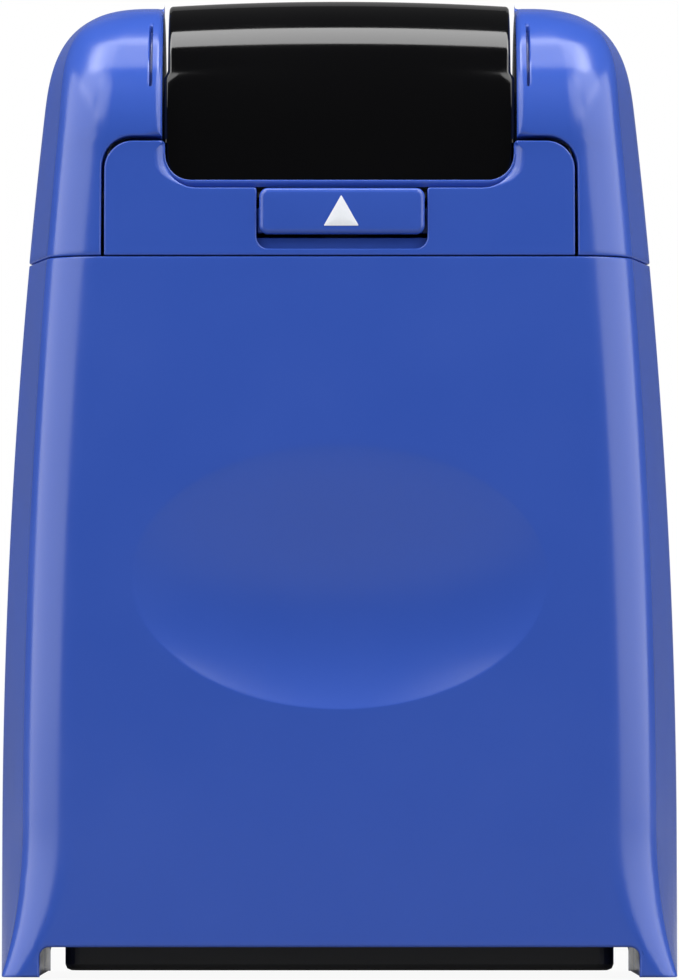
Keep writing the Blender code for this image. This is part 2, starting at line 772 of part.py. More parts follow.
def visor_ring(x, inset_rows):
    """The visor's section at x: up the front, over the top and down the back."""
    radius = visor_radius - visor_crown * (x / visor_half_width) ** 2
    turn = np.linspace(math.pi, 0.0, roller_sides // 2 + 1)
    rows = []
    for inset in inset_rows:
        y, z = (radius - inset) * np.cos(turn), print_axis_height + (radius - inset) * np.sin(turn)
        rows.append(np.concatenate([[[y[0], visor_front_end]], np.column_stack([y, z]),
                                    [[y[-1], visor_rear_end]]]))
    level = np.concatenate([rows[0], rows[1][::-1]])
    return np.column_stack([np.full(len(level), x), level])


def visor():
    """The black cover over the print roller, with the latch's tabs and two pegs."""
    stations = np.linspace(-visor_skirt_half_width, visor_skirt_half_width, crown_steps)
    form = loft("visor_form", [visor_ring(x, (0.0, visor_wall)) for x in stations])
    for turn in (-1, 1):
        x = sorted((turn * visor_half_width, turn * far))
        cut(form, block(f"visor_slot_{turn}", (x[0], -far, visor_skirt_top), (x[1], far, above)))
    front = -visor_radius + visor_wall / 4
    for turn in (-1, 1):
        x = sorted((turn * tab_half_gap, turn * (tab_half_gap + tab_width)))
        back = front + tab_thickness
        tab = block(f"tab_{turn}", (x[0], front, tab_end), (x[1], back, visor_front_end + visor_wall))
        rib = block(f"rib_{turn}", (x[0], back - tab_thickness / 2, tab_end),
                    (x[1], back + rib_depth, tab_end + rib_height))
        join(form, tab, rib)
    for turn in (-1, 1):
        peg = rod(f"peg_{turn}", peg_radius, 1, visor_radius - visor_wall * 2 / 3,
                  hinge_depth - panel_wall / 4, (turn * peg_side, 0.0, peg_height))
        join(form, peg)
    return piece(form, "visor", black, 0.08, origin=(0.0, hinge_depth, hinge_height))


def release_button():
    """The button under the visor: a plate, two stops and the two hooks of the latch."""
    middle = (button_bottom + button_top) / 2
    face = -half_depth(middle, 0.0) - button_proud
    back = face + button_thickness
    plate = block("button_form", (-button_half_width, face, button_bottom),
                  (button_half_width, back, button_top), 1, button_corner)
    soft = plate.modifiers.new("edge", "BEVEL")
    soft.width = button_corner / 3
    soft.segments = 2
    soft.angle_limit = math.radians(60)
    inner = -half_depth(middle, panel_wall) + gap
    stop_top = visor_front_end - gap * 2
    tab_back = -visor_radius + visor_wall / 4 + tab_thickness + rib_depth
    nose = tab_back + gap
    for turn in (-1, 1):
        web = sorted((turn * (button_half_width - stop_thickness), turn * button_half_width))
        join(plate, block(f"button_web_{turn}", (web[0], back - stop_thickness / 2,
                                                 button_bottom + window_margin),
                          (web[1], inner + stop_thickness, stop_top)))
        ear = sorted((turn * (button_half_width - stop_thickness / 2),
                      turn * (button_half_width + stop_reach)))
        join(plate, block(f"button_stop_{turn}", (ear[0], inner, button_bottom + window_margin),
                          (ear[1], inner + stop_thickness, stop_top)))
        x = sorted((turn * tab_half_gap, turn * (tab_half_gap + tab_width)))
        under = button_bottom + window_margin / 2
        bar = block(f"hook_bar_{turn}", (x[0], back - stop_thickness / 2, under),
                    (x[1], nose + nose_length + hook_thickness, under + hook_bar_height))
        catch = tab_end + rib_height + gap
        post = block(f"hook_post_{turn}", (x[0], nose + nose_length, under),
                     (x[1], nose + nose_length + hook_thickness, catch + nose_height))
        tip = block(f"hook_nose_{turn}", (x[0], nose, catch),
                    (x[1], nose + nose_length + hook_thickness / 2, catch + nose_height))
        join(plate, bar, post, tip)
    return piece(plate, "release_button", blue, 0.3, origin=(0.0, face, middle))


def spring():
    """The button's return spring, between the plate and its seat on the chassis."""
    middle = (button_bottom + button_top) / 2
    start = -half_depth(middle, 0.0) - button_proud + button_thickness + gap
    end = -(well_half_depth + well_wall) - gap
    height = visor_front_end - gap * 2 - spring_radius
    curve = bpy.data.curves.new("spring_line", "CURVE")
    curve.dimensions = "3D"
    curve.bevel_depth = spring_wire_radius
    curve.bevel_resolution = 1
    curve.use_fill_caps = True
    around = 10
    count = spring_turns * around + 1
    turn = np.linspace(0.0, 2 * math.pi * spring_turns, count)
    coil = spring_radius - spring_wire_radius
    along = np.linspace(start + spring_wire_radius, end - spring_wire_radius, count)
    spline = curve.splines.new("POLY")
    spline.points.add(count - 1)
    points = np.column_stack([coil * np.cos(turn), along, height + coil * np.sin(turn), np.ones(count)])
    spline.points.foreach_set("co", points.ravel())
    line = bpy.data.objects.new("spring_line", curve)
    cutters.objects.link(line)
    bpy.context.view_layer.update()
    solid = bpy.data.meshes.new_from_object(line.evaluated_get(bpy.context.evaluated_depsgraph_get()))
    bpy.data.objects.remove(line)
    mesh = bmesh.new()
    mesh.from_mesh(solid)
    bmesh.ops.remove_doubles(mesh, verts=mesh.verts, dist=spring_wire_radius / 10)
    bpy.data.meshes.remove(solid)
    return piece(from_bmesh("button_spring", mesh), "button_spring", steel, 0.3, 1.0)


part, cutters = clear_scene()
shell("front_shell", -1)
shell("rear_shell", 1)
screws()
base_plug()
chassis()
cartridge_frame()
print_roller()
ink_roller()
front_panel()
rear_panel()
hinge_pin()
hood()
visor()
release_button()
spring()
bpy.context.view_layer.update()
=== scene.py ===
import math

import bmesh
import bpy
import numpy as np
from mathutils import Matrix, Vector
from mathutils.geometry import delaunay_2d_cdt


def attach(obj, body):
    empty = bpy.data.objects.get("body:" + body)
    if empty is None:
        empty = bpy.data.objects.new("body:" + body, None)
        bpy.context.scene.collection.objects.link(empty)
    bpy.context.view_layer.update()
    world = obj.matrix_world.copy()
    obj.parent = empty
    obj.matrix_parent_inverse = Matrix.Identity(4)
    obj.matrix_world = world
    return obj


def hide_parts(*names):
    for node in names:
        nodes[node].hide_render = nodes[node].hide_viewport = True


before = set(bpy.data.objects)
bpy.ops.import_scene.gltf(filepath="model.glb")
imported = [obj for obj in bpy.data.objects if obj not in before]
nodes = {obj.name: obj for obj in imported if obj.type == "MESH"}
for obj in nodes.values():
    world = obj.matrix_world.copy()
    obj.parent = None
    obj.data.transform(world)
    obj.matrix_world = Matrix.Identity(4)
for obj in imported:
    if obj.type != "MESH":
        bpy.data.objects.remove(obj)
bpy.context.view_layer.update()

# Sizes below are in millimetres, and become metres when a mesh is made.
millimetre = 0.001
mergeAt = 0.001  # points nearer than this are one

bodyShape = {
    "footHalfWidth": 27.75, "footHalfDepth": 16.0,
    "leanStart": 9.5, "leanTop": 72.7, "sideLean": 3.69,  # the sides lean in on one long arc
    "crownStart": 67.0, "faceLean": 2.6, "crownHeight": 12.4,
    "shoulderStart": 70.2, "armTop": 79.4, "shoulderPower": 3.2, "bayHalfWidth": 14.4,
    "facetTop": 75.5, "facetDepth": 9.66, "facetSlope": 0.88, "facetSoft": 0.04,
    "corner": 4.5, "footCorner": 1.6, "flare": 12.0,
    "sideDraft": 0.17, "footDraft": 0.03,
    "wall": 1.8, "seam": 58.3, "seamGap": 0.09,
}
crownRow = bodyShape["crownStart"] + bodyShape["crownHeight"] * np.pi / 2  # the row at the crown's top


def leaned(z, top, amount):
    # how far an outline has come in at a height: one long arc that starts upright
    rise = top - bodyShape["leanStart"]
    radius = (rise ** 2 + amount ** 2) / (2 * amount)
    up = np.clip(z - bodyShape["leanStart"], 0, None)
    return radius - np.sqrt(radius ** 2 - up ** 2)


def halfWidth(z):
    # half the body's width: the side's arc, then a superellipse over the shoulder
    b = bodyShape
    width = b["footHalfWidth"] - leaned(z, b["leanTop"], b["sideLean"])
    share = np.clip((z - b["shoulderStart"]) / (b["armTop"] - b["shoulderStart"]), 0, 1)
    power = b["shoulderPower"]
    return b["bayHalfWidth"] + (width - b["bayHalfWidth"]) * (1 - share ** power) ** (1 / power)


def halfDepth(z):
    # half its depth: the face's arc, then a quarter of an ellipse over the crown
    b = bodyShape
    depth = b["footHalfDepth"] - leaned(np.minimum(z, b["crownStart"]), b["crownStart"], b["faceLean"])
    share = np.clip((z - b["crownStart"]) / b["crownHeight"], 0, 1)
    crown = depth * np.sqrt(1 - share ** 2)
    facet = b["facetDepth"] - (z - b["facetTop"]) * b["facetSlope"]  # the arms' brow is a shallow facet
    return 0.5 * (crown + facet - np.sqrt((crown - facet) ** 2 + b["facetSoft"] ** 2))


def levelOf(h):
    # real height of a row: rows over the crown are spaced by angle, so they don't bunch at the top
    b = bodyShape
    turn = np.clip((h - b["crownStart"]) / b["crownHeight"], 0, np.pi / 2)
    return np.where(h < b["crownStart"], h, b["crownStart"] + b["crownHeight"] * np.sin(turn))


def rowOf(z):
    # and back: the row at a real height
    b = bodyShape
    share = np.clip((z - b["crownStart"]) / b["crownHeight"], 0, 1)
    return np.where(z < b["crownStart"], z, b["crownStart"] + b["crownHeight"] * np.arcsin(share))


def section(z):
    # one level section: its half sizes, corner radius, where its flat face ends, and the side's tilt
    b = bodyShape
    width, depth = halfWidth(z), halfDepth(z)
    flare = np.clip(z / b["flare"], 0, 1)
    flare = flare * (2 - flare)
    radius = b["footCorner"] + (b["corner"] - b["footCorner"]) * flare
    radius = np.minimum(radius, depth * 0.9)
    slope = b["footDraft"] + (b["sideDraft"] - b["footDraft"]) * flare
    tilt = np.arctan(slope)
    flat = width - radius * np.cos(tilt) - slope * (depth - radius + radius * np.sin(tilt))
    return width, depth, radius, flat, tilt


def bodyPoint(q, h):
    # round the body's right half at a height: q is 0 to 1 along the flat face, to 2 round the corner,
    # to 3 along the drafted side, and on to 6 the same way at the back; below 0 it is the left half
    q, h = np.broadcast_arrays(np.asarray(q, float), np.asarray(h, float))
    width, depth, radius, flat, tilt = section(levelOf(h))
    along = np.abs(q)
    p = np.where(along > 3, 6 - along, along)
    turn = -np.pi / 2 + np.clip(p - 1, 0, 1) * (np.pi / 2 - tilt)
    endX, endY = flat + radius * np.cos(tilt), radius - depth - radius * np.sin(tilt)
    t = np.clip(p - 2, 0, 1)
    x = np.where(p < 1, flat * p, np.where(p < 2, flat + radius * np.cos(turn), endX + (width - endX) * t))
    y = np.where(p < 1, -depth, np.where(p < 2, radius - depth + radius * np.sin(turn), endY * (1 - t)))
    return np.stack([np.where(q < 0, -x, x), np.where(along > 3, -y, y), levelOf(h)], -1)


def bodyNormal(q, h):
    # outward: across the change along q and the change along h
    step = 1e-3
    n = np.cross(bodyPoint(q + step, h) - bodyPoint(q - step, h), bodyPoint(q, h + step) - bodyPoint(q, h - step))
    length = np.linalg.norm(n, axis=-1, keepdims=True)
    return np.where(length > 1e-12, n / np.maximum(length, 1e-12), (0.0, 0.0, 1.0))


def aroundAt(x, z):
    # the q of a place on the front, from its x and height
    _, _, radius, flat, tilt = section(z)
    over = np.clip((np.abs(x) - flat) / np.maximum(radius, 1e-6), 0, 1)
    corner = 1 + np.arcsin(over) / (np.pi / 2 - tilt)
    return np.sign(x) * np.where(np.abs(x) < flat, np.abs(x) / np.maximum(flat, 1e-6), corner)


def onFace(x, z, sunk):
    # a place on the body's front from its x and height, sunk straight in
    face = bodyPoint(aroundAt(x, z), rowOf(z))[..., 1]
    return np.stack([x, face + sunk, z], -1)


def roundedEdge(radius, steps=5):
    # a quarter round from the wall to the face: pairs of how far in from the edge, and how deep
    a = np.linspace(0, np.pi / 2, steps + 1)
    return np.column_stack([radius * (1 - np.cos(a)), radius * (1 - np.sin(a))])


def ease(a, b, value):
    # 0 before a and 1 past b, with a soft start and end
    t = np.clip((value - a) / (b - a), 0, 1)
    return t * t * (3 - 2 * t)


def outlineAt(corners, radii, inset, steps, straight):
    # a closed outline of straight edges and round corners, drawn in by inset; corners run anticlockwise
    corners, radii = np.asarray(corners, float), np.asarray(radii, float)
    before, after = corners - np.roll(corners, 1, 0), np.roll(corners, -1, 0) - corners
    before /= np.linalg.norm(before, axis=1, keepdims=True)
    after /= np.linalg.norm(after, axis=1, keepdims=True)
    left = np.stack([-before[:, 1], before[:, 0]], 1) + np.stack([-after[:, 1], after[:, 0]], 1)
    convex = before[:, 0] * after[:, 1] - before[:, 1] * after[:, 0] > 0
    middle = corners + left * np.where(convex, radii, -radii)[:, None]
    size = np.where(convex, radii - inset, radii + inset)
    moved = corners + left * inset
    start = np.where(convex, 1, -1)[:, None] * np.stack([before[:, 1], -before[:, 0]], 1)
    end = np.where(convex, 1, -1)[:, None] * np.stack([after[:, 1], -after[:, 0]], 1)
    t = np.linspace(0, np.pi / 2, steps)[:, None, None]
    arc = middle + np.clip(size, 0, None)[:, None] * (np.cos(t) * start + np.sin(t) * end)
    arc = np.where((size > 0)[:, None], arc, moved)
    points = []
    for i in range(len(corners)):
        points.append(arc[:, i])
        share = np.asarray(straight[i], float)[:, None]
        points.append(arc[-1, i] * (1 - share) + arc[0, (i + 1) % len(corners)] * share)
    return np.concatenate(points)


def cellFaces(index):
    # the four corners of each cell of a grid of point numbers
    return np.stack([index[:-1, :-1], index[:-1, 1:], index[1:, 1:], index[1:, :-1]], -1).reshape(-1, 4)


def gridFaces(shape, closedRows=False, closedColumns=False, first=0):
    # the faces of a grid of points, whose last row or column is joined to its first where it is closed
    rows, columns = shape[:2]
    index = first + np.arange(rows * columns).reshape(rows, columns)
    if closedRows:
        index = np.concatenate([index, index[:1]])
    if closedColumns:
        index = np.concatenate([index, index[:, :1]], 1)
    return cellFaces(index)


def makePiece(name, points, faces, body, material, sharp=32):
    # puts the points into a mesh in metres, merges seams and poles, and turns the faces outwards
    mesh = bpy.data.meshes.new(name)
    faces = faces if isinstance(faces, list) else faces.tolist()
    mesh.from_pydata((np.asarray(points).reshape(-1, 3) * millimetre).tolist(), [], faces)
    bm = bmesh.new()
    bm.from_mesh(mesh)
    bmesh.ops.remove_doubles(bm, verts=bm.verts, dist=mergeAt * millimetre)
    bmesh.ops.dissolve_degenerate(bm, edges=bm.edges, dist=mergeAt * millimetre / 5)
    if bm.calc_volume(signed=True) < 0:
        bmesh.ops.reverse_faces(bm, faces=bm.faces)
    bm.to_mesh(mesh)
    bm.free()
    mesh.shade_smooth()
    mesh.set_sharp_from_angle(angle=math.radians(sharp))
    mesh.materials.append(material)
    piece = bpy.data.objects.new(name, mesh)
    bpy.context.scene.collection.objects.link(piece)
    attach(piece, body)
    return piece


def between(count):
    # evenly spaced shares inside a straight run, without its ends
    return np.linspace(0, 1, count + 2)[1:-1]


def solidSheet(q, h, depth, wall):
    # a skin on the body: the outer points sunk by depth, and an inner sheet at the wall's depth
    place, out = bodyPoint(q, h), bodyNormal(q, h)
    return place - out * depth[..., None], place - out * wall


def closedEnds(points):
    # draws both ends of a carried profile in to their middles
    middle = points.mean(0, keepdims=True)
    ends = [np.repeat(middle[:, [i]], len(points), 0) for i in (0, -1)]
    return np.concatenate([ends[0], points, ends[1]], 1)


print("materials")


def hexToLinear(text):
    # sRGB hex to the linear values that the shader takes
    parts = [int(text[i:i + 2], 16) / 255 for i in (1, 3, 5)]
    return [c / 12.92 if c <= 0.04045 else ((c + 0.055) / 1.055) ** 2.4 for c in parts] + [1.0]


def addNode(tree, kind, settings=None, links=None):
    # one node, its settings by property or socket name, and what feeds its sockets
    node = tree.nodes.new(kind)
    for key, value in (settings or {}).items():
        if isinstance(key, str) and hasattr(node, key):
            setattr(node, key, value)
        else:
            node.inputs[key].default_value = value
    for key, source in (links or {}).items():
        tree.links.new(source, node.inputs[key])
    return node


def startMaterial(name):
    made = bpy.data.materials.new(name)
    made.use_nodes = True
    tree = made.node_tree
    return made, tree, tree.nodes["Principled BSDF"]


def turnedPlace(tree):
    # object coordinates turned askew, so that no flat face lies along the lattice of a noise
    at = addNode(tree, "ShaderNodeTexCoord").outputs["Object"]
    return addNode(tree, "ShaderNodeMapping", {"Rotation": (0.61, 0.37, 0.83)}, {"Vector": at}).outputs[0]


def makeFinish(name, colour, darker, roughness, spread, size, depth, metallic=0.0, grain=None):
    # two near tones and an uneven gloss in patches of one size, and a fine bump on those patches
    # or on a finer grain of its own; size, depth and grain are in mm, and IOR stays 1.5, as in plastics
    made, tree, shader = startMaterial(name)
    at = turnedPlace(tree)
    noise = addNode(tree, "ShaderNodeTexNoise", {"Scale": 1000 / size, "Detail": 3.0 if grain else 4.0},
                    {"Vector": at})
    fine = noise
    if grain:
        fine = addNode(tree, "ShaderNodeTexNoise", {"Scale": 1000 / grain, "Detail": 2.0}, {"Vector": at})
    tone = addNode(tree, "ShaderNodeMix", {"data_type": "RGBA", 6: hexToLinear(darker), 7: hexToLinear(colour)},
                   {0: noise.outputs[0]})
    gloss = addNode(tree, "ShaderNodeMapRange", {"From Min": 0.3, "From Max": 0.7,
                    "To Min": roughness, "To Max": roughness + spread}, {"Value": noise.outputs[0]})
    bump = addNode(tree, "ShaderNodeBump", {"Strength": 0.25 if grain else 0.4, "Distance": depth * millimetre},
                   {"Height": fine.outputs[0]})
    tree.links.new(tone.outputs[2], shader.inputs["Base Color"])
    tree.links.new(gloss.outputs[0], shader.inputs["Roughness"])
    tree.links.new(bump.outputs[0], shader.inputs["Normal"])
    shader.inputs["Metallic"].default_value = metallic
    return made


# blue ABS from a mould with a fine spark-eroded grain: an even satin, a little uneven where the melt flowed
blueAbs = makeFinish("moulded_blue_abs", "#3251AA", "#2F4EA6", 0.19, 0.07, 9.0, 0.004, grain=0.10)
# glossy black styrene from a polished mould: deep, with faint waviness in what it mirrors
pianoBlack = makeFinish("polished_black_styrene", "#050506", "#030304", 0.05, 0.03, 14.0, 0.01)
# black ABS from a finely textured mould: a soft grey sheen
satinBlack = makeFinish("textured_black_abs", "#141415", "#0D0D0E", 0.42, 0.08, 0.25, 0.004)
# nitrile rubber, ground and stained by ink: dull, with a faint wet sheen in places
stampRubber = makeFinish("inked_nitrile_rubber", "#232327", "#151518", 0.45, 0.2, 1.2, 0.01)
# felt soaked in ink: nearly black, rough, with its fibres showing
inkFelt = makeFinish("ink_soaked_felt", "#16161C", "#09090D", 0.8, 0.15, 0.12, 0.05)
# unpainted acetal from a plain mould: a waxy off-white
acetal = makeFinish("moulded_natural_acetal", "#D9D6CC", "#CDC9BE", 0.35, 0.1, 2.0, 0.002)
# ground steel rod: a bright grey with fine scratches
groundSteel = makeFinish("ground_steel", "#C9CACC", "#B4B6B9", 0.22, 0.12, 0.15, 0.002, 1.0)
# zinc-plated screw steel: a little duller and bluer
zincScrew = makeFinish("zinc_plated_steel", "#B9BDC2", "#9DA2A8", 0.30, 0.15, 0.3, 0.003, 1.0)
# pad-printed white ink: flat and slightly grey
whitePrint = makeFinish("pad_printed_white_ink", "#E4E6EA", "#D8DCE2", 0.5, 0.1, 0.2, 0.001)


print("shells")

shellShape = {
    "legInside": 24.2, "archTop": 2.42, "archCorner": 0.8,
    "edge": 0.14, "footEdge": 0.22, "partingGap": 0.05,
    "scoopHeight": 32.3, "scoopHalfWidth": 16.8, "scoopHalfHeight": 10.7, "scoopDepth": 1.5, "scoopSkew": 0.7,
    "scoopRim": 0.02, "levelFrom": 8.0,  # rows are level from here up
}
wellShape = {
    "places": [(-19, 52.5), (19, 52.5), (-16.5, 13.0), (16.5, 13.0)],
    "radius": 2.2, "seat": 6.3, "hole": 1.25, "holeDepth": 1.0, "lip": 0.18, "reach": 3.2,
    "boss": 2.45, "bossEnd": 1.2, "bossReach": 2.95,  # the boss ends this far from the parting
}


def shellBottom(inset, counts):
    # the bottom edge of the right half, from the middle out: arch, its corner, the leg's inner side, the foot
    s = shellShape
    run, corner, side, foot = counts
    a = np.linspace(np.pi / 2, 0, corner + 2)[1:-1]
    radius = s["archCorner"] + inset
    middleX, middleZ = s["legInside"] - s["archCorner"], s["archTop"] - s["archCorner"]
    x1 = np.linspace(0, middleX, run)
    x2, z2 = middleX + radius * np.cos(a), middleZ + radius * np.sin(a)
    z3 = np.linspace(middleZ, inset, side)
    x = np.concatenate([x1, x2, z3 * 0 + s["legInside"] + inset])
    z = np.concatenate([x1 * 0 + s["archTop"] + inset, z2, z3])
    legStart = aroundAt(np.array(s["legInside"] + inset), np.array(inset))
    qFoot = np.interp(np.arange(1, foot + 1), [0, 5, 13, foot], [legStart, 1.0, 2.0, 2.97])
    return np.concatenate([aroundAt(x, z), qFoot]), np.concatenate([z, np.full(foot, inset)])


def restRings(turn, z0):
    # the thumb rest: depth x (1 - share^2), skewed so that its lower lip is steep and its upper one soft
    s = shellShape
    rings = []
    for share in [1.03, 1.016, 1.008, 1.003, 0.998, 0.992, 0.984, 0.972, *np.linspace(0.95, 0.0, 26)]:
        x, z = s["scoopHalfWidth"] * share * np.cos(turn), s["scoopHalfHeight"] * share * np.sin(turn)
        bowl = s["scoopDepth"] * (1 - share ** 2) * (1 - s["scoopSkew"] * z / s["scoopHalfHeight"])
        soft = 0.5 * (bowl + np.sqrt(bowl ** 2 + s["scoopRim"] ** 2))  # the rim rolls over
        rings.append((x, z, 0 * x if share > 1.02 else soft))
    return rings


def roundRings(rows, turn):
    # level rings from radii and depths
    return [(r * np.cos(turn), r * np.sin(turn), deep + 0 * turn) for r, deep in rows]


def wellRings(turn, z0):
    # a screw's well: a small round lip, a straight wall, the seat for the head, and a blind hole under it
    s = wellShape
    seat = float(halfDepth(np.array(z0))) - s["seat"]
    end = seat + s["holeDepth"]
    rows = [(s["radius"] + s["lip"] + 0.25, 0), *[(s["radius"] + i, d) for i, d in roundedEdge(s["lip"])[::-1]],
            (s["radius"], seat), (s["hole"], seat), (s["hole"], end), (0, end)]
    return roundRings(rows, turn)


def bossRings(turn, z0):
    # the boss round that well, on the shell's inner side: a plain post that ends just short of the parting
    s = wellShape
    end = float(halfDepth(np.array(z0))) - s["bossEnd"]
    return roundRings([(s["boss"] + 0.05, bodyShape["wall"]), (s["boss"], end), (0, end)], turn)


def openRings(sheet, faces, x0, z0, reachX, reachZ, steps, shape, first):
    # takes the cells round a place out of a sheet, and runs rings from the hole's edge in to a closed middle
    rowCount, columnCount = sheet.shape[:2]
    level = sheet[:, columnCount // 2, 2]
    low, high = [np.argmin(np.abs(level - z0 + sign * reachZ)) for sign in (1, -1)]
    across = sheet[(low + high) // 2, :, 0]
    west, east = [np.argmin(np.abs(across - x0 + sign * reachX)) for sign in (1, -1)]
    row, column = faces[:, 0] // columnCount, faces[:, 0] % columnCount
    faces = faces[~((row >= low) & (row < high) & (column >= west) & (column < east))]
    index = np.arange(rowCount * columnCount).reshape(rowCount, columnCount)
    loop = np.concatenate([index[low, west:east], index[low:high, east],
                           index[high, east:west:-1], index[high:low:-1, west]])
    startX, startZ = (sheet.reshape(-1, 3)[loop][:, [0, 2]] - (x0, z0)).T
    rings = shape(np.arctan2(startZ / reachZ, startX / reachX), z0)
    rimX, rimZ, _ = rings[0]
    lead = [(startX + (rimX - startX) * t, startZ + (rimZ - startZ) * t, rings[0][2])
            for t in np.linspace(0, 1, steps)[1:-1]]
    x, z, sunk = [np.array(v) for v in zip(*lead, *rings)]
    ring = onFace(x + x0, z + z0, sunk)
    ringIndex = first + np.arange(ring.shape[0] * len(loop)).reshape(ring.shape[0], len(loop))
    stack = np.concatenate([loop[None, :], ringIndex])
    return faces, ring.reshape(-1, 3), cellFaces(np.concatenate([stack, stack[:, :1]], 1))


def makeShell(name, side):
    # half the handle: rows from the bottom edge up to the seam, each closed round the parting's edge,
    # with the thumb rest let in, and the screw wells on the rear one
    b, s, w = bodyShape, shellShape, wellShape
    counts = (44, 6, 6, 26)  # points along the arch, its corner, the leg's side and the foot
    rim = np.vstack([roundedEdge(s["edge"])[::-1], (0.0, b["wall"])])
    top = b["seam"] - b["seamGap"] / 2
    qTop = np.interp(np.arange(sum(counts)), [0, 43, 68, sum(counts) - 1], [0, 1.02, 2.0, 2.97])
    foot = [(0.0, b["wall"]), *roundedEdge(s["footEdge"]), (0.5, 0.0)]
    rows = [(*shellBottom(inset, counts), deep) for inset, deep in foot]
    q0, z0, _ = rows[-1]
    rows += [(q0 + (qTop - q0) * t, z0 + (s["levelFrom"] - z0) * t, 0.0) for t in np.linspace(0, 1, 9)[1:]]
    rows += [(qTop, 0 * qTop + z, 0.0) for z in np.linspace(s["levelFrom"], top - 0.4, 76)[1:]]
    rows += [(qTop, 0 * qTop + (top - inset), deep) for inset, deep in rim]
    q, h = [np.array([r[i] for r in rows]) for i in (0, 1)]
    deep = np.array([np.full(q.shape[1], r[2]) for r in rows])
    _, depth, radius, _, tilt = section(h[:, -1])
    run = depth - radius + radius * np.sin(tilt)
    qSide = 3 - (s["partingGap"] + rim[:, 0]) / run[:, None]
    hSide = np.repeat(h[:, -1:], len(rim), 1)
    deepSide = np.maximum(deep[:, -1:], rim[:, 1])
    q, h, deep = [np.concatenate(pair, 1) for pair in ((q, qSide), (h, hSide), (deep, deepSide))]
    q, h, deep = [np.concatenate([sign * a[:, :0:-1], a], 1) for a, sign in ((q, -1), (h, 1), (deep, 1))]
    outer, inner = solidSheet(q, h, deep, b["wall"])
    faces, innerFaces, count = gridFaces(q.shape), gridFaces(q.shape), q.size
    points = [outer.reshape(-1, 3), inner.reshape(-1, 3)]
    rests = [(0, s["scoopHeight"], s["scoopHalfWidth"] + 1.5, s["scoopHalfHeight"] + 1.6, 7, restRings)]
    if side > 0:
        rests += [(x, z, w["reach"], w["reach"], 4, wellRings) for x, z in w["places"]]
    extra = []
    for x, z, reachX, reachZ, steps, shape in rests:
        first = sum(len(p) for p in points)
        faces, ringPoints, ringFaces = openRings(outer, faces, x, z, reachX, reachZ, steps, shape, first)
        points.append(ringPoints)
        extra.append(ringFaces)
        if shape is wellRings:
            first += len(ringPoints)
            innerFaces, ringPoints, ringFaces = openRings(inner, innerFaces, x, z, w["bossReach"], w["bossReach"],
                                                          3, bossRings, first)
            points.append(ringPoints)
            extra.append(np.where(ringFaces < count, ringFaces + count, ringFaces)[:, ::-1])
    innerFaces = innerFaces[:, ::-1] + count
    points = np.concatenate(points)
    points[:, 2] = np.maximum(points[:, 2], 0)
    faces = np.concatenate([faces, innerFaces, *extra])
    if side > 0:
        points = points * (1, -1, 1)
        faces = faces[:, ::-1]
    return makePiece(name, points, faces, "handle", blueAbs, sharp=24)


frontShell = makeShell("front_shell_skin", -1)
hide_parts("front_shell")
rearShell = makeShell("rear_shell_skin", 1)
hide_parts("rear_shell")


print("hood")

hoodShape = {
    "bottom": 58.345, "windowHalfWidth": 19.32, "frontTop": 68.1, "rearTop": 65.05, "windowCorner": 2.55,
    "edge": 0.16, "bayEdge": 0.55, "wall": 1.8,
    "bridgeTop": 69.0, "bridgeMiddle": 67.0, "bridgeWall": 1.3,
    "hingeY": 13.6, "hingeZ": 65.0, "knuckle": 1.5, "pinHole": 0.9, "bodyKnuckleHalf": 5.15, "knuckleLength": 4.8,
    "slitMiddle": 15.34, "slitWidth": 0.22, "slitSoft": 0.04, "slitDepth": 0.5,
    "slitLow": 72.2, "slitHigh": 77.6, "slitEnd": 0.2,
    "seamRows": [0.0, 0.05, 0.16, 0.5], "seamDepths": [0.16, 0.05, 0.0],  # the rounded edge at the seam
    "sideLevels": [63.6, 66.2, 69.2],  # where the side's rows stand that meet the window's corners
}


def armBorder(top, inset, counts):
    # the arm's free edge on one face: up the window's side, round its corner, in to the bay and up to the crown
    b, s = bodyShape, hoodShape
    side, corner, step, rise = counts
    radius = s["windowCorner"] + inset
    middleX, middleZ = s["windowHalfWidth"] - s["windowCorner"], top - s["windowCorner"]
    z1 = np.linspace(s["bottom"], middleZ, side)
    a = np.linspace(0, np.pi / 2, corner + 2)[1:-1]
    x2, z2 = middleX + radius * np.cos(a), middleZ + radius * np.sin(a)
    x3 = np.linspace(middleX, b["bayHalfWidth"] + inset, step)
    h4 = np.linspace(rowOf(np.array(top + inset)), crownRow, rise + 1)[1:]
    x = np.concatenate([z1 * 0 + s["windowHalfWidth"] + inset, x2, x3, h4 * 0 + b["bayHalfWidth"] + inset])
    h = np.concatenate([rowOf(z1), rowOf(z2), x3 * 0 + rowOf(np.array(top + inset)), h4])
    return x, h


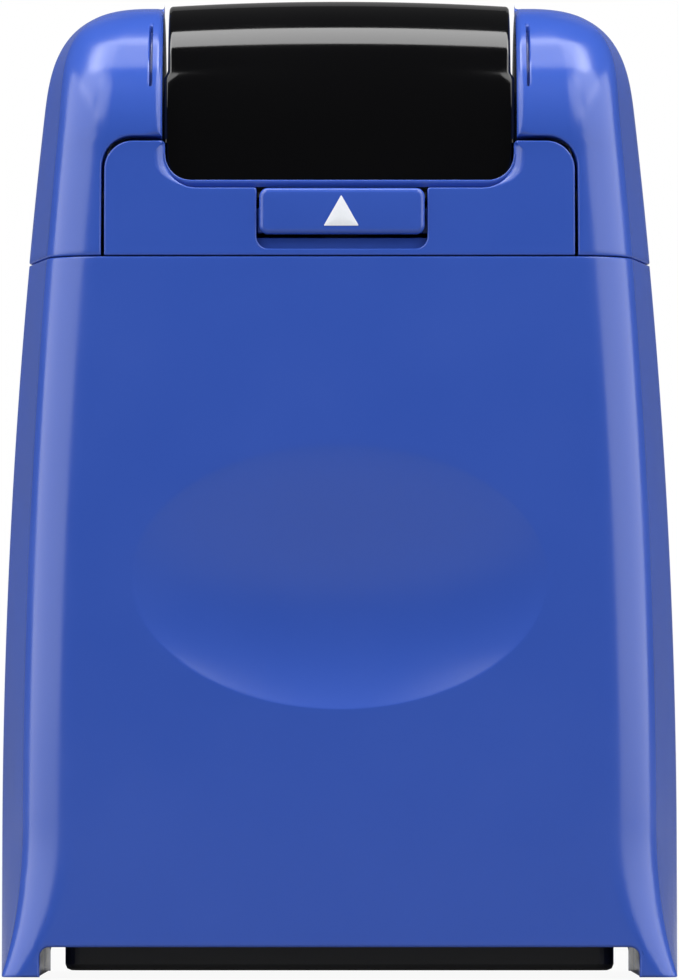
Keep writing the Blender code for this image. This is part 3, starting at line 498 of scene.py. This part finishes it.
def makeArm(name, side):
    # columns run from the front window's edge round the side to the rear window's, and each row is one line
    # along the arm: the free edges roll over, and the inner sheet closes the arm towards the bay
    s = hoodShape
    counts = (18, 9, 12, 46)  # rows up the window's side, round its corner, in to the bay and up to the crown
    total = sum(counts)
    up, corner, over, _ = counts
    cornerTop, bayStart = up + corner, up + corner + over
    middle = np.interp(np.arange(total), [0, up - 1, cornerTop, bayStart, total - 1],
                       [s["bottom"], *s["sideLevels"], crownRow])
    middle[:4] = s["bottom"] + np.array(s["seamRows"])
    bayShare = ease(cornerTop + over * 0.3, bayStart, np.arange(total))
    radius = s["edge"] + (s["bayEdge"] - s["edge"]) * bayShare
    seamDepth = np.zeros(total)
    seamDepth[:3] = s["seamDepths"]
    halves = []
    for top in (s["frontTop"], s["rearTop"]):
        columns = [(0 * radius, radius * 0 + s["wall"])]
        columns += [(radius * i, radius * d) for i, d in roundedEdge(1, 6)]
        columns.append((columns[-1][0] + 0.25, columns[-1][1]))
        for k, (inset, deep) in enumerate(columns):
            x, h = np.zeros(total), np.zeros(total)
            for value in np.unique(inset):
                bx, bh = armBorder(top, value, counts)
                here = inset == value
                x[here], h[here] = bx[here], bh[here]
            h[:4] = middle[:4]
            columns[k] = (aroundAt(x, levelOf(h)), h, deep)
        halves.append(columns)
    front, rear = halves
    q, h, deep = [[column[i] for column in front] for i in range(3)]
    for t in [*np.linspace(0.002, 0.1, 40), *np.linspace(0.1, 1, 24)[1:]]:
        q.append(front[-1][0] + (3 - front[-1][0]) * t)
        h.append(front[-1][1] + (middle - front[-1][1]) * ease(0, 1, t))
        place = bodyPoint(q[-1], h[-1])
        across = ease(s["slitWidth"] / 2 + s["slitSoft"], s["slitWidth"] / 2 - s["slitSoft"],
                      np.abs(place[:, 0] - s["slitMiddle"]))
        along = ease(s["slitLow"], s["slitLow"] + s["slitEnd"], place[:, 2]) \
            * ease(s["slitHigh"], s["slitHigh"] - s["slitEnd"], place[:, 2])
        deep.append(s["slitDepth"] * across * along)
    for t in np.linspace(1, 0, 26)[1:-1]:
        q.append(6 - (rear[-1][0] + (3 - rear[-1][0]) * t))
        h.append(rear[-1][1] + (middle - rear[-1][1]) * ease(0, 1, t))
        deep.append(np.zeros(total))
    for column in rear[::-1]:
        q.append(6 - column[0])
        h.append(column[1])
        deep.append(column[2])
    q, h, deep = [np.array(v).T for v in (q, h, deep)]
    deep = np.maximum(deep, seamDepth[:, None])
    outer, inner = solidSheet(q, h, np.minimum(deep, s["wall"]), s["wall"])
    # rows over the windows close straight across the bay, as the inner cheek; lower rows follow the skin
    t = np.linspace(0, 1, q.shape[1])[None, :, None]
    straight = inner[:, :1] * (1 - t) + inner[:, -1:] * t
    share = ease(cornerTop, bayStart, np.arange(total))[:, None, None]
    inner = inner * (1 - share) + straight * share
    inner[0, :, 2] = outer[0, :, 2]
    points = np.concatenate([outer.reshape(-1, 3), inner.reshape(-1, 3)])
    index = np.arange(q.shape[1])
    here, after = index[:-1], index[1:]
    bottom = np.stack([here, here + q.size, after + q.size, after], -1)
    faces = np.concatenate([gridFaces(q.shape), gridFaces(q.shape, first=q.size)[:, ::-1], bottom])
    if side < 0:
        points = points * (-1, 1, 1)
        faces = faces[:, ::-1]
    return makePiece(name, points, faces, "hood", blueAbs, sharp=30)


armRight = makeArm("hood_arm_right", 1)
makeArm("hood_arm_left", -1)


print("front panel and button")

panelShape = {
    "halfWidth": 19.06, "bottom": 58.345, "top": 67.68, "corner": 2.3, "edge": 0.14, "wall": 1.3,
    "notchHalfWidth": 14.15, "rimHeight": 63.85, "rimCorner": 2.55,
    "lipHeight": 64.5, "lipCorner": 2.1,
    "recessHalfWidth": 6.92, "recessMiddle": 0.2, "recessBottom": 58.88, "recessDepth": 0.9, "recessCorner": 1.0,
    "windowBottom": 59.8, "lattice": 0.32,
}


def insideOf(loop, x, z):
    # which places lie inside a closed outline: the crossings of a ray to the right are odd
    x1, z1 = loop.T[:, :, None]
    x2, z2 = np.roll(x1, -1, 0), np.roll(z1, -1, 0)
    with np.errstate(divide="ignore", invalid="ignore"):
        cross = x1 + (z - z1) * (x2 - x1) / (z2 - z1)
    return (((z1 > z) != (z2 > z)) & (x < cross)).sum(0) % 2 == 1


def fillOutline(loop, step):
    # a lattice of places inside an outline, joined with it into triangles
    low, high = loop.min(0), loop.max(0)
    gx, gz = np.meshgrid(np.arange(low[0], high[0], step), np.arange(low[1], high[1], step))
    gx, gz = gx.ravel(), gz.ravel()
    near = np.concatenate([np.sqrt((part[:, :1] - gx) ** 2 + (part[:, 1:] - gz) ** 2).min(0)[None]
                           for part in np.array_split(loop, 8)]).min(0)
    keep = insideOf(loop, gx, gz) & (near > step * 0.45)
    flat = np.concatenate([loop, np.stack([gx[keep], gz[keep]], -1)])
    ring = [(i, (i + 1) % len(loop)) for i in range(len(loop))]
    places, _, faces, *_ = delaunay_2d_cdt([Vector(p) for p in flat.tolist()], ring, [], 0, 1e-7, False)
    places, faces = np.array([tuple(p) for p in places]), np.array([tuple(f) for f in faces])
    middle = places[faces].mean(1)
    return places, faces[insideOf(loop, *middle.T)]


def makeFrontPanel():
    # one closed outline, with the notch and the recess let in from above, and its edges rolled over;
    # the notch's upright sides have a wide soft chamfer instead
    s = panelShape
    w, n, r, m = s["halfWidth"], s["notchHalfWidth"], s["recessHalfWidth"], s["recessMiddle"]
    side = [(w, s["bottom"]), (w, s["top"]), (n, s["top"]), (n, s["rimHeight"])]
    corners = [(-w, s["bottom"]), *side, (m + r, s["rimHeight"]), (m + r, s["recessBottom"]),
               (m - r, s["recessBottom"]), (m - r, s["rimHeight"]), *[(-x, z) for x, z in side[:0:-1]]]
    sideRadii = [s["corner"], 0.3, s["rimCorner"], 0.2, s["recessCorner"]]
    radii = [0.12, 0.12, *sideRadii, *sideRadii[::-1]]
    steps = 14  # points round a corner, and along the straight run after each
    sideRuns = [22, 8, 4, 16, 14]
    runs = [110, *sideRuns, 40, *sideRuns[::-1]]
    straight = [between(run) for run in runs]
    starts = np.cumsum([0] + [steps + run for run in runs])
    total = starts[-1]
    order = np.arange(total)
    # the chamfer's share: 1 along the notch's upright sides, from its upper corners to its lower ones
    soft = ease(starts[3], starts[3] + steps, order) \
        * ease(starts[4] + steps * 0.75, starts[4] + steps * 0.1, order)
    soft += ease(starts[9] + steps * 0.25, starts[9] + steps * 0.9, order) \
        * ease(starts[10] + steps, starts[10], order)
    e = s["edge"]
    plain = np.array([(e, s["wall"]), (0, s["wall"]), (0, e), (e * 0.05, e * 0.69), (e * 0.19, e * 0.41),
                      (e * 0.41, e * 0.19), (e * 0.69, e * 0.05), (e, 0)])
    chamfer = np.array([(0.92, s["wall"]), (0, s["wall"]), (0, 0.62), (0.06, 0.5), (0.2, 0.34), (0.4, 0.17),
                        (0.64, 0.05), (0.92, 0)])
    rows = []
    for (inset, deep), (softInset, softDeep) in zip(plain, chamfer):
        at = inset + (softInset - inset) * soft
        levels = np.linspace(at.min(), at.max(), 12) if at.max() > at.min() else np.array([inset, inset + 1e-6])
        table = np.array([outlineAt(corners, radii, v, steps, straight) for v in levels])
        place = np.clip((at - levels[0]) / (levels[-1] - levels[0]) * (len(levels) - 1), 0, len(levels) - 1.001)
        low, part = place.astype(int), (place % 1)[:, None]
        flat = table[low, order] * (1 - part) + table[low + 1, order] * part
        rows.append(np.concatenate([flat, (deep + (softDeep - deep) * soft)[:, None]], 1))
    rows = np.array(rows)
    band = onFace(*np.moveaxis(rows, -1, 0)).reshape(-1, 3)
    faces = gridFaces(rows.shape, closedColumns=True).tolist()
    flat, inside = fillOutline(rows[-1, :, :2], s["lattice"])
    front, back = onFace(*flat.T, 0.0), onFace(*flat.T, s["wall"])
    first = len(band)
    faces += (inside[:, ::-1] + first).tolist() + (inside + first + len(front)).tolist()
    return makePiece("front_panel_skin", np.concatenate([band, front, back]), faces, "handle", blueAbs, sharp=30)


def makeLip():
    # the low lip that follows the notch inside its rim: its profile carried along the notch's outline
    s = panelShape
    n = s["notchHalfWidth"] - 0.02
    corners = [(-n, 70.0), (-n, s["lipHeight"]), (n, s["lipHeight"]), (n, 70.0)]
    radii = [0.1, s["lipCorner"], s["lipCorner"], 0.1]
    steps, upright, level = 20, 6, 120
    profile = [(0.0, 1.25), (0.0, 0.52), (0.015, 0.46), (0.06, 0.42), (0.13, 0.41), (0.22, 0.44), (0.34, 0.53),
               (0.46, 0.64), (0.57, 0.72), (0.57, 1.25)]
    runs = [between(upright), between(level), between(upright), between(upright)]
    rows = []
    for inset, deep in profile:
        # a negative inset: the profile grows outwards and down from the notch's outline
        path = outlineAt(corners, radii, -inset, steps, runs)[steps + upright:][:2 * steps + level]
        rows.append(onFace(*path.T, deep))
    points = closedEnds(np.array(rows))
    faces = gridFaces(points.shape, closedRows=True)
    return makePiece("front_panel_lip", points, faces, "handle", blueAbs)


def makeLedge():
    # the floor of the recess under the button, as far down as the window
    s = panelShape
    x = s["recessMiddle"] + np.linspace(-s["recessHalfWidth"] - 0.3, s["recessHalfWidth"] + 0.3, 41)
    low, high, face, back = s["recessBottom"] - 0.3, s["windowBottom"], s["recessDepth"], s["wall"] - 0.02
    profile = [(low, face), (high - 0.1, face), (high - 0.03, face + 0.03), (high, face + 0.1), (high, back),
               (low, back)]
    z, deep = [np.array(v)[:, None] + x * 0 for v in zip(*profile)]
    points = closedEnds(onFace(x + z * 0, z, deep))
    faces = gridFaces(points.shape, closedRows=True)
    return makePiece("front_panel_ledge", points, faces, "handle", blueAbs)


frontPanel = makeFrontPanel()
makeLip()
makeLedge()
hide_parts("front_panel")

buttonShape = {
    "middle": 0.2, "halfWidth": 6.7, "bottom": 60.05, "top": 63.82, "corner": 0.72,
    "proud": 0.5, "thickness": 0.9, "lean": 0.25,  # the top lies this much further in
    "pillow": 0.42, "flatFrom": 1.7, "crown": 0.05,
    "markMiddle": 0.14, "markHalfWidth": 1.42, "markBottom": 60.72, "markTop": 63.22,
    "markRaised": 0.016, "markSunk": 0.03,
}


def buttonFace(z):
    # how far forward the button's face stands at a height
    s = buttonShape
    middle = np.array((s["bottom"] + s["top"]) / 2)
    return -halfDepth(middle) - s["proud"] + s["lean"] * (z - s["bottom"]) / (s["top"] - s["bottom"])


def makeButton():
    # nested round-cornered rectangles: the edge rolls over a quarter round, and the face crowns slightly
    s = buttonShape
    w = s["halfWidth"]
    corners = [(-w, s["bottom"]), (w, s["bottom"]), (w, s["top"]), (-w, s["top"])]
    straight = [between(40), between(12), between(40), between(12)]
    middle, half = (s["bottom"] + s["top"]) / 2, (s["top"] - s["bottom"]) / 2
    rows = [(0.0, s["thickness"]), *roundedEdge(s["pillow"], 8)]
    rows += [(v, 0.0) for v in np.linspace(s["pillow"], s["flatFrom"], 7)[1:]]
    loops = [outlineAt(corners, [s["corner"]] * 4, inset, 8, straight) for inset, _ in rows]
    depths = [deep + s["crown"] * (1 - min(inset / half, 1)) ** 2 for inset, deep in rows]
    # the front closes on a line along its middle, and so does the flat back
    spine = np.stack([np.clip(loops[-1][:, 0], -w + half, w - half), loops[-1][:, 0] * 0 + middle], -1)
    loops = np.array([spine, loops[0], *loops, spine])
    depths = np.array([s["thickness"], s["thickness"], *depths, 0.0])
    points = np.stack([loops[..., 0] + s["middle"], buttonFace(loops[..., 1]) + depths[:, None], loops[..., 1]], -1)
    faces = gridFaces(points.shape, closedColumns=True)
    return makePiece("release_button_skin", points, faces, "button", blueAbs, sharp=40)


button = makeButton()
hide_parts("release_button")


def makeMark():
    # the printed triangle: a thin plate on the button's face with a small round on its corners
    s = buttonShape
    w, low, up = s["markHalfWidth"], s["markSunk"], -s["markRaised"]
    corners = np.array([(-w, s["markBottom"]), (w, s["markBottom"]), (0, s["markTop"])])
    centre = corners.mean(0)
    rows = [(0.0, low), (1.0, low), (1.0, up * 0.75), (0.985, up), (0.0, up)]
    loop = np.concatenate([corners[i] + (corners[(i + 1) % 3] - corners[i]) * np.linspace(0.02, 0.98, 12)[:, None]
                           for i in range(3)])
    flat = np.array([centre + (loop - centre) * share for share, _ in rows])
    deep = np.array([[d] for _, d in rows])
    points = np.stack([flat[..., 0] + s["markMiddle"], buttonFace(flat[..., 1]) + deep, flat[..., 1]], -1)
    faces = gridFaces(points.shape, closedColumns=True)
    return makePiece("release_button_mark", points, faces, "button", whitePrint, sharp=20)


makeMark()


print("visor")

visorShape = {
    "middle": -0.02, "axisZ": 68.0, "radius": 12.0, "crown": 0.4, "wall": 1.2, "halfWidth": 13.95,
    "skirt": 0.3, "skirtTop": 73.3, "frontEnd": 62.8, "rearEnd": 65.6, "edge": 0.32,
}


def makeVisor():
    # a profile carried across the part: straight down the front, half a round over the top and a short way
    # down the back, with thick = half the wall, less at the rounded ends
    s = visorShape
    half, e = s["wall"] / 2, s["edge"]
    front = np.linspace(s["frontEnd"] + half, s["axisZ"], 12)[:-1]
    turn = np.linspace(np.pi, 0, 97)
    rear = np.linspace(s["axisZ"], s["rearEnd"] + half, 7)[1:]
    outY = np.concatenate([front * 0 - 1, np.cos(turn), rear * 0 + 1])
    outZ = np.concatenate([front * 0, np.sin(turn), rear * 0])
    lift = np.concatenate([front - s["axisZ"], turn * 0, rear - s["axisZ"]])
    capTurn = np.linspace(0, np.pi, 9)[1:-1]
    # where a ring stands across the part, how far in from the edge, and how much its wall is thinned
    ends = roundedEdge(e, 6)
    stations = [(-1.0, 0.0, half), *[(-1.0, *end) for end in ends],
                *[(v, 0.0, 0.0) for v in np.linspace(-1, 1, 41)[1:-1]],
                *[(1.0, *end) for end in ends[::-1]], (1.0, 0.0, half)]
    rings = []
    for share, back, sink in stations:
        thick = half - sink
        radius = s["radius"] - half - s["crown"] * share ** 2
        y, z = outY * radius, s["axisZ"] + lift + outZ * radius
        loopY = np.concatenate([y + outY * thick, y[-1] + thick * np.cos(capTurn), (y - outY * thick)[::-1],
                                y[0] + thick * np.cos(capTurn)])
        loopZ = np.concatenate([z + outZ * thick, z[-1] - thick * np.sin(capTurn), (z - outZ * thick)[::-1],
                                z[0] - thick * np.sin(capTurn)])
        skirt = s["skirt"] * ease(s["skirtTop"] + 0.1, s["skirtTop"] - 0.35, loopZ)
        width = s["halfWidth"] + skirt - back if abs(share) == 1 else s["halfWidth"] + skirt - e
        rings.append(np.stack([width * share + s["middle"], loopY, loopZ], -1))
    points = np.array(rings)
    faces = gridFaces(points.shape, closedColumns=True)
    return makePiece("visor_shell", points, faces, "hood", pianoBlack, sharp=40)


visor = makeVisor()
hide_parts("visor")


print("back of the hood")


def makeBridge():
    # the bar between the arms behind the visor: the body's own surface with round top and bottom edges,
    # closed at each end by a fan round one point
    b, s = bodyShape, hoodShape
    x = np.linspace(-b["bayHalfWidth"], b["bayHalfWidth"], 61)
    edge = roundedEdge(s["edge"])
    low, high = s["rearTop"], s["bridgeTop"]
    rows = [(low + i, d) for i, d in edge]
    rows += [(z, 0.0) for z in np.linspace(low + 0.3, high - 0.3, 10)]
    rows += [(high - i, d) for i, d in edge[::-1]]
    rows += [(high, s["bridgeWall"]), (low, s["bridgeWall"])]
    z, sunk = [np.array(v)[:, None] + x * 0 for v in zip(*rows)]
    points = np.stack([x + z * 0, halfDepth(z) - sunk, z], -1).reshape(-1, 3)
    middle = s["bridgeMiddle"]
    ends = [(x[i], halfDepth(np.array(middle)) - 0.7, middle) for i in (0, -1)]
    index = np.arange(z.size).reshape(z.shape)
    left, right = [np.append(index[:, i], index[0, i]).tolist() for i in (0, -1)]
    faces = gridFaces(z.shape, closedRows=True).tolist()
    faces += [(after, here, z.size) for here, after in zip(left[:-1], left[1:])]
    faces += [(here, after, z.size + 1) for here, after in zip(right[:-1], right[1:])]
    return makePiece("hood_bridge", np.concatenate([points, ends]), faces, "hood", blueAbs)


def makeTube(name, radius, bore, start, end, y, z, body, material):
    # a turned sleeve along X with small round edges, from its profile of places and radii
    edge = roundedEdge(min(0.15, (radius - bore) / 3), 4)
    profile = [(start, bore), *[(start + i, radius - d) for i, d in edge],
               *[(end - i, radius - d) for i, d in edge[::-1]], (end, bore)]
    turn = np.linspace(0, 2 * np.pi, 65)[:-1]
    place, reach = np.array(profile).T[:, :, None]
    points = np.stack([place + turn * 0, y + reach * np.cos(turn), z + reach * np.sin(turn)], -1)
    faces = gridFaces(points.shape, closedRows=True, closedColumns=True)
    return makePiece(name, points, faces, body, material)


makeBridge()
h = hoodShape
for side, name in ((-1, "left"), (1, "right")):
    ends = sorted((side * h["bodyKnuckleHalf"], side * (h["bodyKnuckleHalf"] + h["knuckleLength"])))
    makeTube(f"hood_knuckle_{name}", h["knuckle"], h["pinHole"], *ends, h["hingeY"], h["hingeZ"], "hood", blueAbs)
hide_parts("hood")


print("roller, latch and feet")

sleeveShape = {
    "radius": 9.8, "bore": 8.1, "halfLength": 12.4, "height": 68.0, "edge": 0.25,
    "relief": 0.32, "ridge": 0.35, "around": 480, "along": 104,
}


def makePrintSleeve():
    # r = radius - relief where three oblique waves add up low: a raised camouflage pattern, with no letters
    s = sleeveShape
    half = s["halfLength"]
    a = np.linspace(0, 2 * np.pi, s["around"] + 1)[:-1][None, :]
    u = np.linspace(-half + s["edge"], half - s["edge"], s["along"])[:, None]
    wave = np.cos(36 * a + 1.1 * u) + np.cos(25 * a - 1.7 * u) \
        + 0.8 * np.cos(11 * a + 2.3 * u + 1.2 * np.sin(5 * a))
    low = ease(0.1 + s["ridge"] / 2, 0.1 - s["ridge"] / 2, wave)
    low *= ease(0, 1.2, half - np.abs(u) - 0.6)  # the ends stay plain
    ends = [(half, s["bore"]), *[(half - i, s["radius"] - d) for i, d in roundedEdge(s["edge"], 4)[:-1]]]
    place = np.array([*[-p for p, _ in ends], *u[:, 0], *[p for p, _ in ends[::-1]]])[:, None]
    rims = np.array([r for _, r in ends])[:, None] + a * 0
    radius = np.concatenate([rims, s["radius"] - s["relief"] * low, rims[::-1]])
    points = np.stack([place + radius * 0, radius * np.cos(a), s["height"] + radius * np.sin(a)], -1)
    faces = gridFaces(points.shape, closedRows=True, closedColumns=True)
    return makePiece("print_sleeve_skin", points, faces, "print_roller", stampRubber)


printSleeve = makePrintSleeve()
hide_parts("print_sleeve")

footShape = {
    "halfWidth": 26.2, "halfDepth": 14.4, "socketHalfWidth": 22.5, "socketHalfDepth": 13.3, "corner": 1.0,
    "low": 2.45, "high": 4.2, "legInside": 24.2, "legLow": 0.03, "edge": 0.12, "parting": 0.06,
}


def makePlate(name, corners, radii, low, high, edge, material=blueAbs, body="handle", across=False):
    # a level plate with rolled edges: bands round its outline, and triangles over its two faces;
    # across turns it on edge, so that its outline is seen from the side and it runs along X
    lengths = np.linalg.norm(np.roll(corners, -1, 0) - corners, axis=1)
    runs = [between(max(2, int(length / 0.8))) for length in lengths]
    rim = roundedEdge(edge, 4)
    rows = [(i, low + d) for i, d in rim[::-1]] + [(i, high - d) for i, d in rim]
    loops = [outlineAt(corners, radii, inset, 6, runs) for inset, _ in rows]
    band = np.array([np.column_stack([loop, loop[:, 0] * 0 + z]) for loop, (_, z) in zip(loops, rows)])
    flat, inside = fillOutline(loops[0], 1.5)
    faces = gridFaces(band.shape, closedColumns=True).tolist()
    first = band.shape[0] * band.shape[1]
    faces += (inside[:, ::-1] + first).tolist() + (inside + first + len(flat)).tolist()
    points = np.concatenate([band.reshape(-1, 3), np.column_stack([flat, flat[:, 0] * 0 + low]),
                             np.column_stack([flat, flat[:, 0] * 0 + high])])
    if across:
        points = points[:, [2, 0, 1]]
    return makePiece(name, points, faces, body, material)


latchShape = {
    "edge": 0.08, "corner": 0.1, "inside": 3.7, "outside": 5.2, "stopLow": 60.2, "stopHigh": 62.2,
    "tab": [(-11.7, 60.95), (-10.2, 60.95), (-10.2, 61.35), (-10.9, 61.35), (-10.9, 63.4), (-11.7, 63.4)],
    "hook": [(-13.5, 60.15), (-9.1, 60.15), (-9.1, 62.1), (-9.9, 62.1), (-9.9, 61.65), (-9.6, 61.65),
             (-9.6, 60.7), (-13.5, 60.7)],
    "stop": [(6.05, -13.5), (6.65, -13.5), (6.65, -12.25), (7.65, -12.25), (7.65, -11.65), (6.05, -11.65)],
}

for side, name in ((-1, "left"), (1, "right")):
    # the visor's catch tabs, the button's two hooks behind them and the stops that keep it in its window
    s = latchShape
    low, high = sorted((side * s["inside"], side * s["outside"]))
    stop = s["stop"] if side > 0 else [(-x, y) for x, y in s["stop"][::-1]]
    for piece, outline, ends, *finish in (
            ("visor_tab", s["tab"], (low, high), pianoBlack, "hood", True),
            ("release_button_hook", s["hook"], (low, high), blueAbs, "button", True),
            ("release_button_stop", stop, (s["stopLow"], s["stopHigh"]), blueAbs, "button")):
        makePlate(f"{piece}_{name}", outline, [s["corner"]] * len(outline), *ends, s["edge"], *finish)

for side, name in ((-1, "front"), (1, "rear")):
    # the flange round the tray's socket, and the inner side of each leg under it
    f = footShape
    w, d, gap, sw, sd = f["halfWidth"], f["halfDepth"], f["parting"], f["socketHalfWidth"], f["socketHalfDepth"]
    outline = np.array([(-w, -d), (w, -d), (w, -gap), (sw, -gap), (sw, -sd), (-sw, -sd), (-sw, -gap), (-w, -gap)])
    makePlate(f"{name}_shell_flange", -side * outline, [0.8, 0.8, 0.13, 0.13, f["corner"], f["corner"], 0.13, 0.13],
              f["low"], f["high"], f["edge"])
    y1, y2 = sorted((side * gap, side * d))
    for edge, leg in ((-1, "left"), (1, "right")):
        x1, x2 = sorted((edge * f["legInside"], edge * w))
        makePlate(f"{name}_shell_leg_{leg}", [(x1, y1), (x2, y1), (x2, y2), (x1, y2)], [0.2] * 4,
                  f["legLow"], f["low"] + 0.2, f["edge"])


print("finishes of the CAD nodes")

finishes = {
    "rear_panel": blueAbs, "base_plug": satinBlack, "chassis": satinBlack, "cartridge_frame": acetal,
    "print_axle": groundSteel, "ink_axle": groundSteel, "hinge_pin": groundSteel, "button_spring": groundSteel,
    "screw_upper_left": zincScrew, "screw_upper_right": zincScrew, "screw_lower_left": zincScrew,
    "screw_lower_right": zincScrew, "print_core": acetal, "ink_core": acetal, "ink_felt": inkFelt,
}
for name, material in finishes.items():
    for slot in nodes[name].material_slots:
        slot.material = material


print("floor, light and camera")

cameraPlace = {"height": 0.01427, "distance": 0.800, "pitch": 1.826, "lens": 357.27}
paper = {
    "width": 1.3, "front": -1.6, "back": 2.2, "height": 1.5, "bend": 0.5, "sunk": 0.0001,
    "near": 0.3, "far": 1.2,  # m behind the part, between which what follows changes
    "toneLow": 0.22, "toneHigh": 0.26, "glow": 0.94, "mirroredNear": 0.06, "mirroredFar": 0.16,
}
overheadLamp = [(0, 0.067, 0.75), (0, 0.0669, 0.07), (0.9, 0.234), 3.7]  # place, target, size in m, power in W
lampPairs = {  # the same for the right lamp of each pair, by its name
    "{}_box": [(0.86, -0.17, 0.25), (0, 0, 0.04), (1.5, 1.0), 11.6],
    "upper_{}": [(0.45, -0.70, 0.90), (0, 0, 0.04), (0.4, 0.7), 3.0],
    "side_top_{}": [(0.55, -0.15, 0.85), (0, 0, 0.05), (0.6, 0.6), 4.0],
}
worldStrength = 0.06

scene = bpy.context.scene
scene.view_settings.view_transform = "Standard"
camera = bpy.data.objects.new("camera", bpy.data.cameras.new("camera"))
scene.collection.objects.link(camera)
camera.data.sensor_fit = "VERTICAL"
camera.data.sensor_height = camera.data.sensor_width = 36
camera.data.lens = cameraPlace["lens"]
camera.data.clip_start = 0.05
camera.location = (0, -cameraPlace["distance"], cameraPlace["height"])
camera.rotation_euler = (math.radians(90 + cameraPlace["pitch"]), 0, 0)
scene.camera = camera


def paperWhite():
    # matt studio paper: it keeps the part's shadow, is white to the camera and through glass,
    # and shows dimly in what shines, so that black stays black
    made, tree, shader = startMaterial("white_studio_paper")
    at = addNode(tree, "ShaderNodeTexCoord").outputs["Object"]
    fibre = addNode(tree, "ShaderNodeTexNoise", {"Scale": 400.0, "Detail": 3.0}, {"Vector": at})
    tone = addNode(tree, "ShaderNodeMapRange", {"To Min": paper["toneLow"], "To Max": paper["toneHigh"]},
                   {"Value": fibre.outputs[0]})
    tree.links.new(tone.outputs[0], shader.inputs["Base Color"])
    shader.inputs["Roughness"].default_value = 0.9
    path = addNode(tree, "ShaderNodeLightPath")
    behind = addNode(tree, "ShaderNodeSeparateXYZ", None, {0: at}).outputs[1]

    def changing(low, high):
        return addNode(tree, "ShaderNodeMapRange", {"From Min": paper["near"], "From Max": paper["far"],
                       "To Min": low, "To Max": high}, {"Value": behind}).outputs[0]

    def combine(kind, first, second):
        return addNode(tree, "ShaderNodeMath", {"operation": kind}, {0: first, 1: second}).outputs[0]

    mirrored = changing(paper["mirroredNear"], paper["mirroredFar"])
    mirrored = combine("MULTIPLY", path.outputs["Is Glossy Ray"], mirrored)
    seen = combine("MAXIMUM", path.outputs["Is Camera Ray"], mirrored)
    seen = combine("MAXIMUM", seen, path.outputs["Is Transmission Ray"])
    share = combine("MULTIPLY", seen, changing(paper["glow"], 1.0))
    glow = addNode(tree, "ShaderNodeEmission", {"Color": (1, 1, 1, 1), "Strength": 1.0})
    mixed = addNode(tree, "ShaderNodeMixShader", None, {0: share, 1: shader.outputs[0], 2: glow.outputs[0]})
    tree.links.new(mixed.outputs[0], tree.nodes["Material Output"].inputs["Surface"])
    return made


def makePaper():
    # a roll of paper that lies flat, turns up in a quarter round behind the part and stands
    p = paper
    turn = np.linspace(0, np.pi / 2, 25)
    y = np.concatenate([[p["front"]], p["back"] - p["bend"] + p["bend"] * np.sin(turn), [p["back"]]])
    z = np.concatenate([[0], p["bend"] * (1 - np.cos(turn)), [p["height"]]]) - p["sunk"]
    x = np.array([-0.5, 0.5]) * p["width"]
    points = np.stack(np.broadcast_arrays(x[None], y[:, None], z[:, None]), -1)
    mesh = bpy.data.meshes.new("paper")
    mesh.from_pydata(points.reshape(-1, 3).tolist(), [], gridFaces(points.shape)[:, ::-1].tolist())
    mesh.shade_smooth()
    mesh.materials.append(paperWhite())
    made = bpy.data.objects.new("paper", mesh)
    scene.collection.objects.link(made)


def studioWorld():
    # the dim, even grey of the room behind the camera
    world = bpy.data.worlds.new("studio")
    scene.world = world
    world.use_nodes = True
    background = world.node_tree.nodes["Background"]
    background.inputs["Color"].default_value = (1, 1, 1, 1)
    background.inputs["Strength"].default_value = worldStrength


def addLamp(name, place, target, size, power):
    # a soft box: a rectangle that faces the target
    lamp = bpy.data.lights.new(name, "AREA")
    lamp.shape = "RECTANGLE"
    lamp.size, lamp.size_y = size
    lamp.energy = power
    made = bpy.data.objects.new(name, lamp)
    made.location = place
    made.rotation_euler = (Vector(target) - Vector(place)).to_track_quat("-Z", "Y").to_euler()
    scene.collection.objects.link(made)


makePaper()
studioWorld()
addLamp("overhead_box", *overheadLamp)
for name, ((x, y, z), *rest) in lampPairs.items():
    addLamp(name.format("left"), (-x, y, z), *rest)
    addLamp(name.format("right"), (x, y, z), *rest)
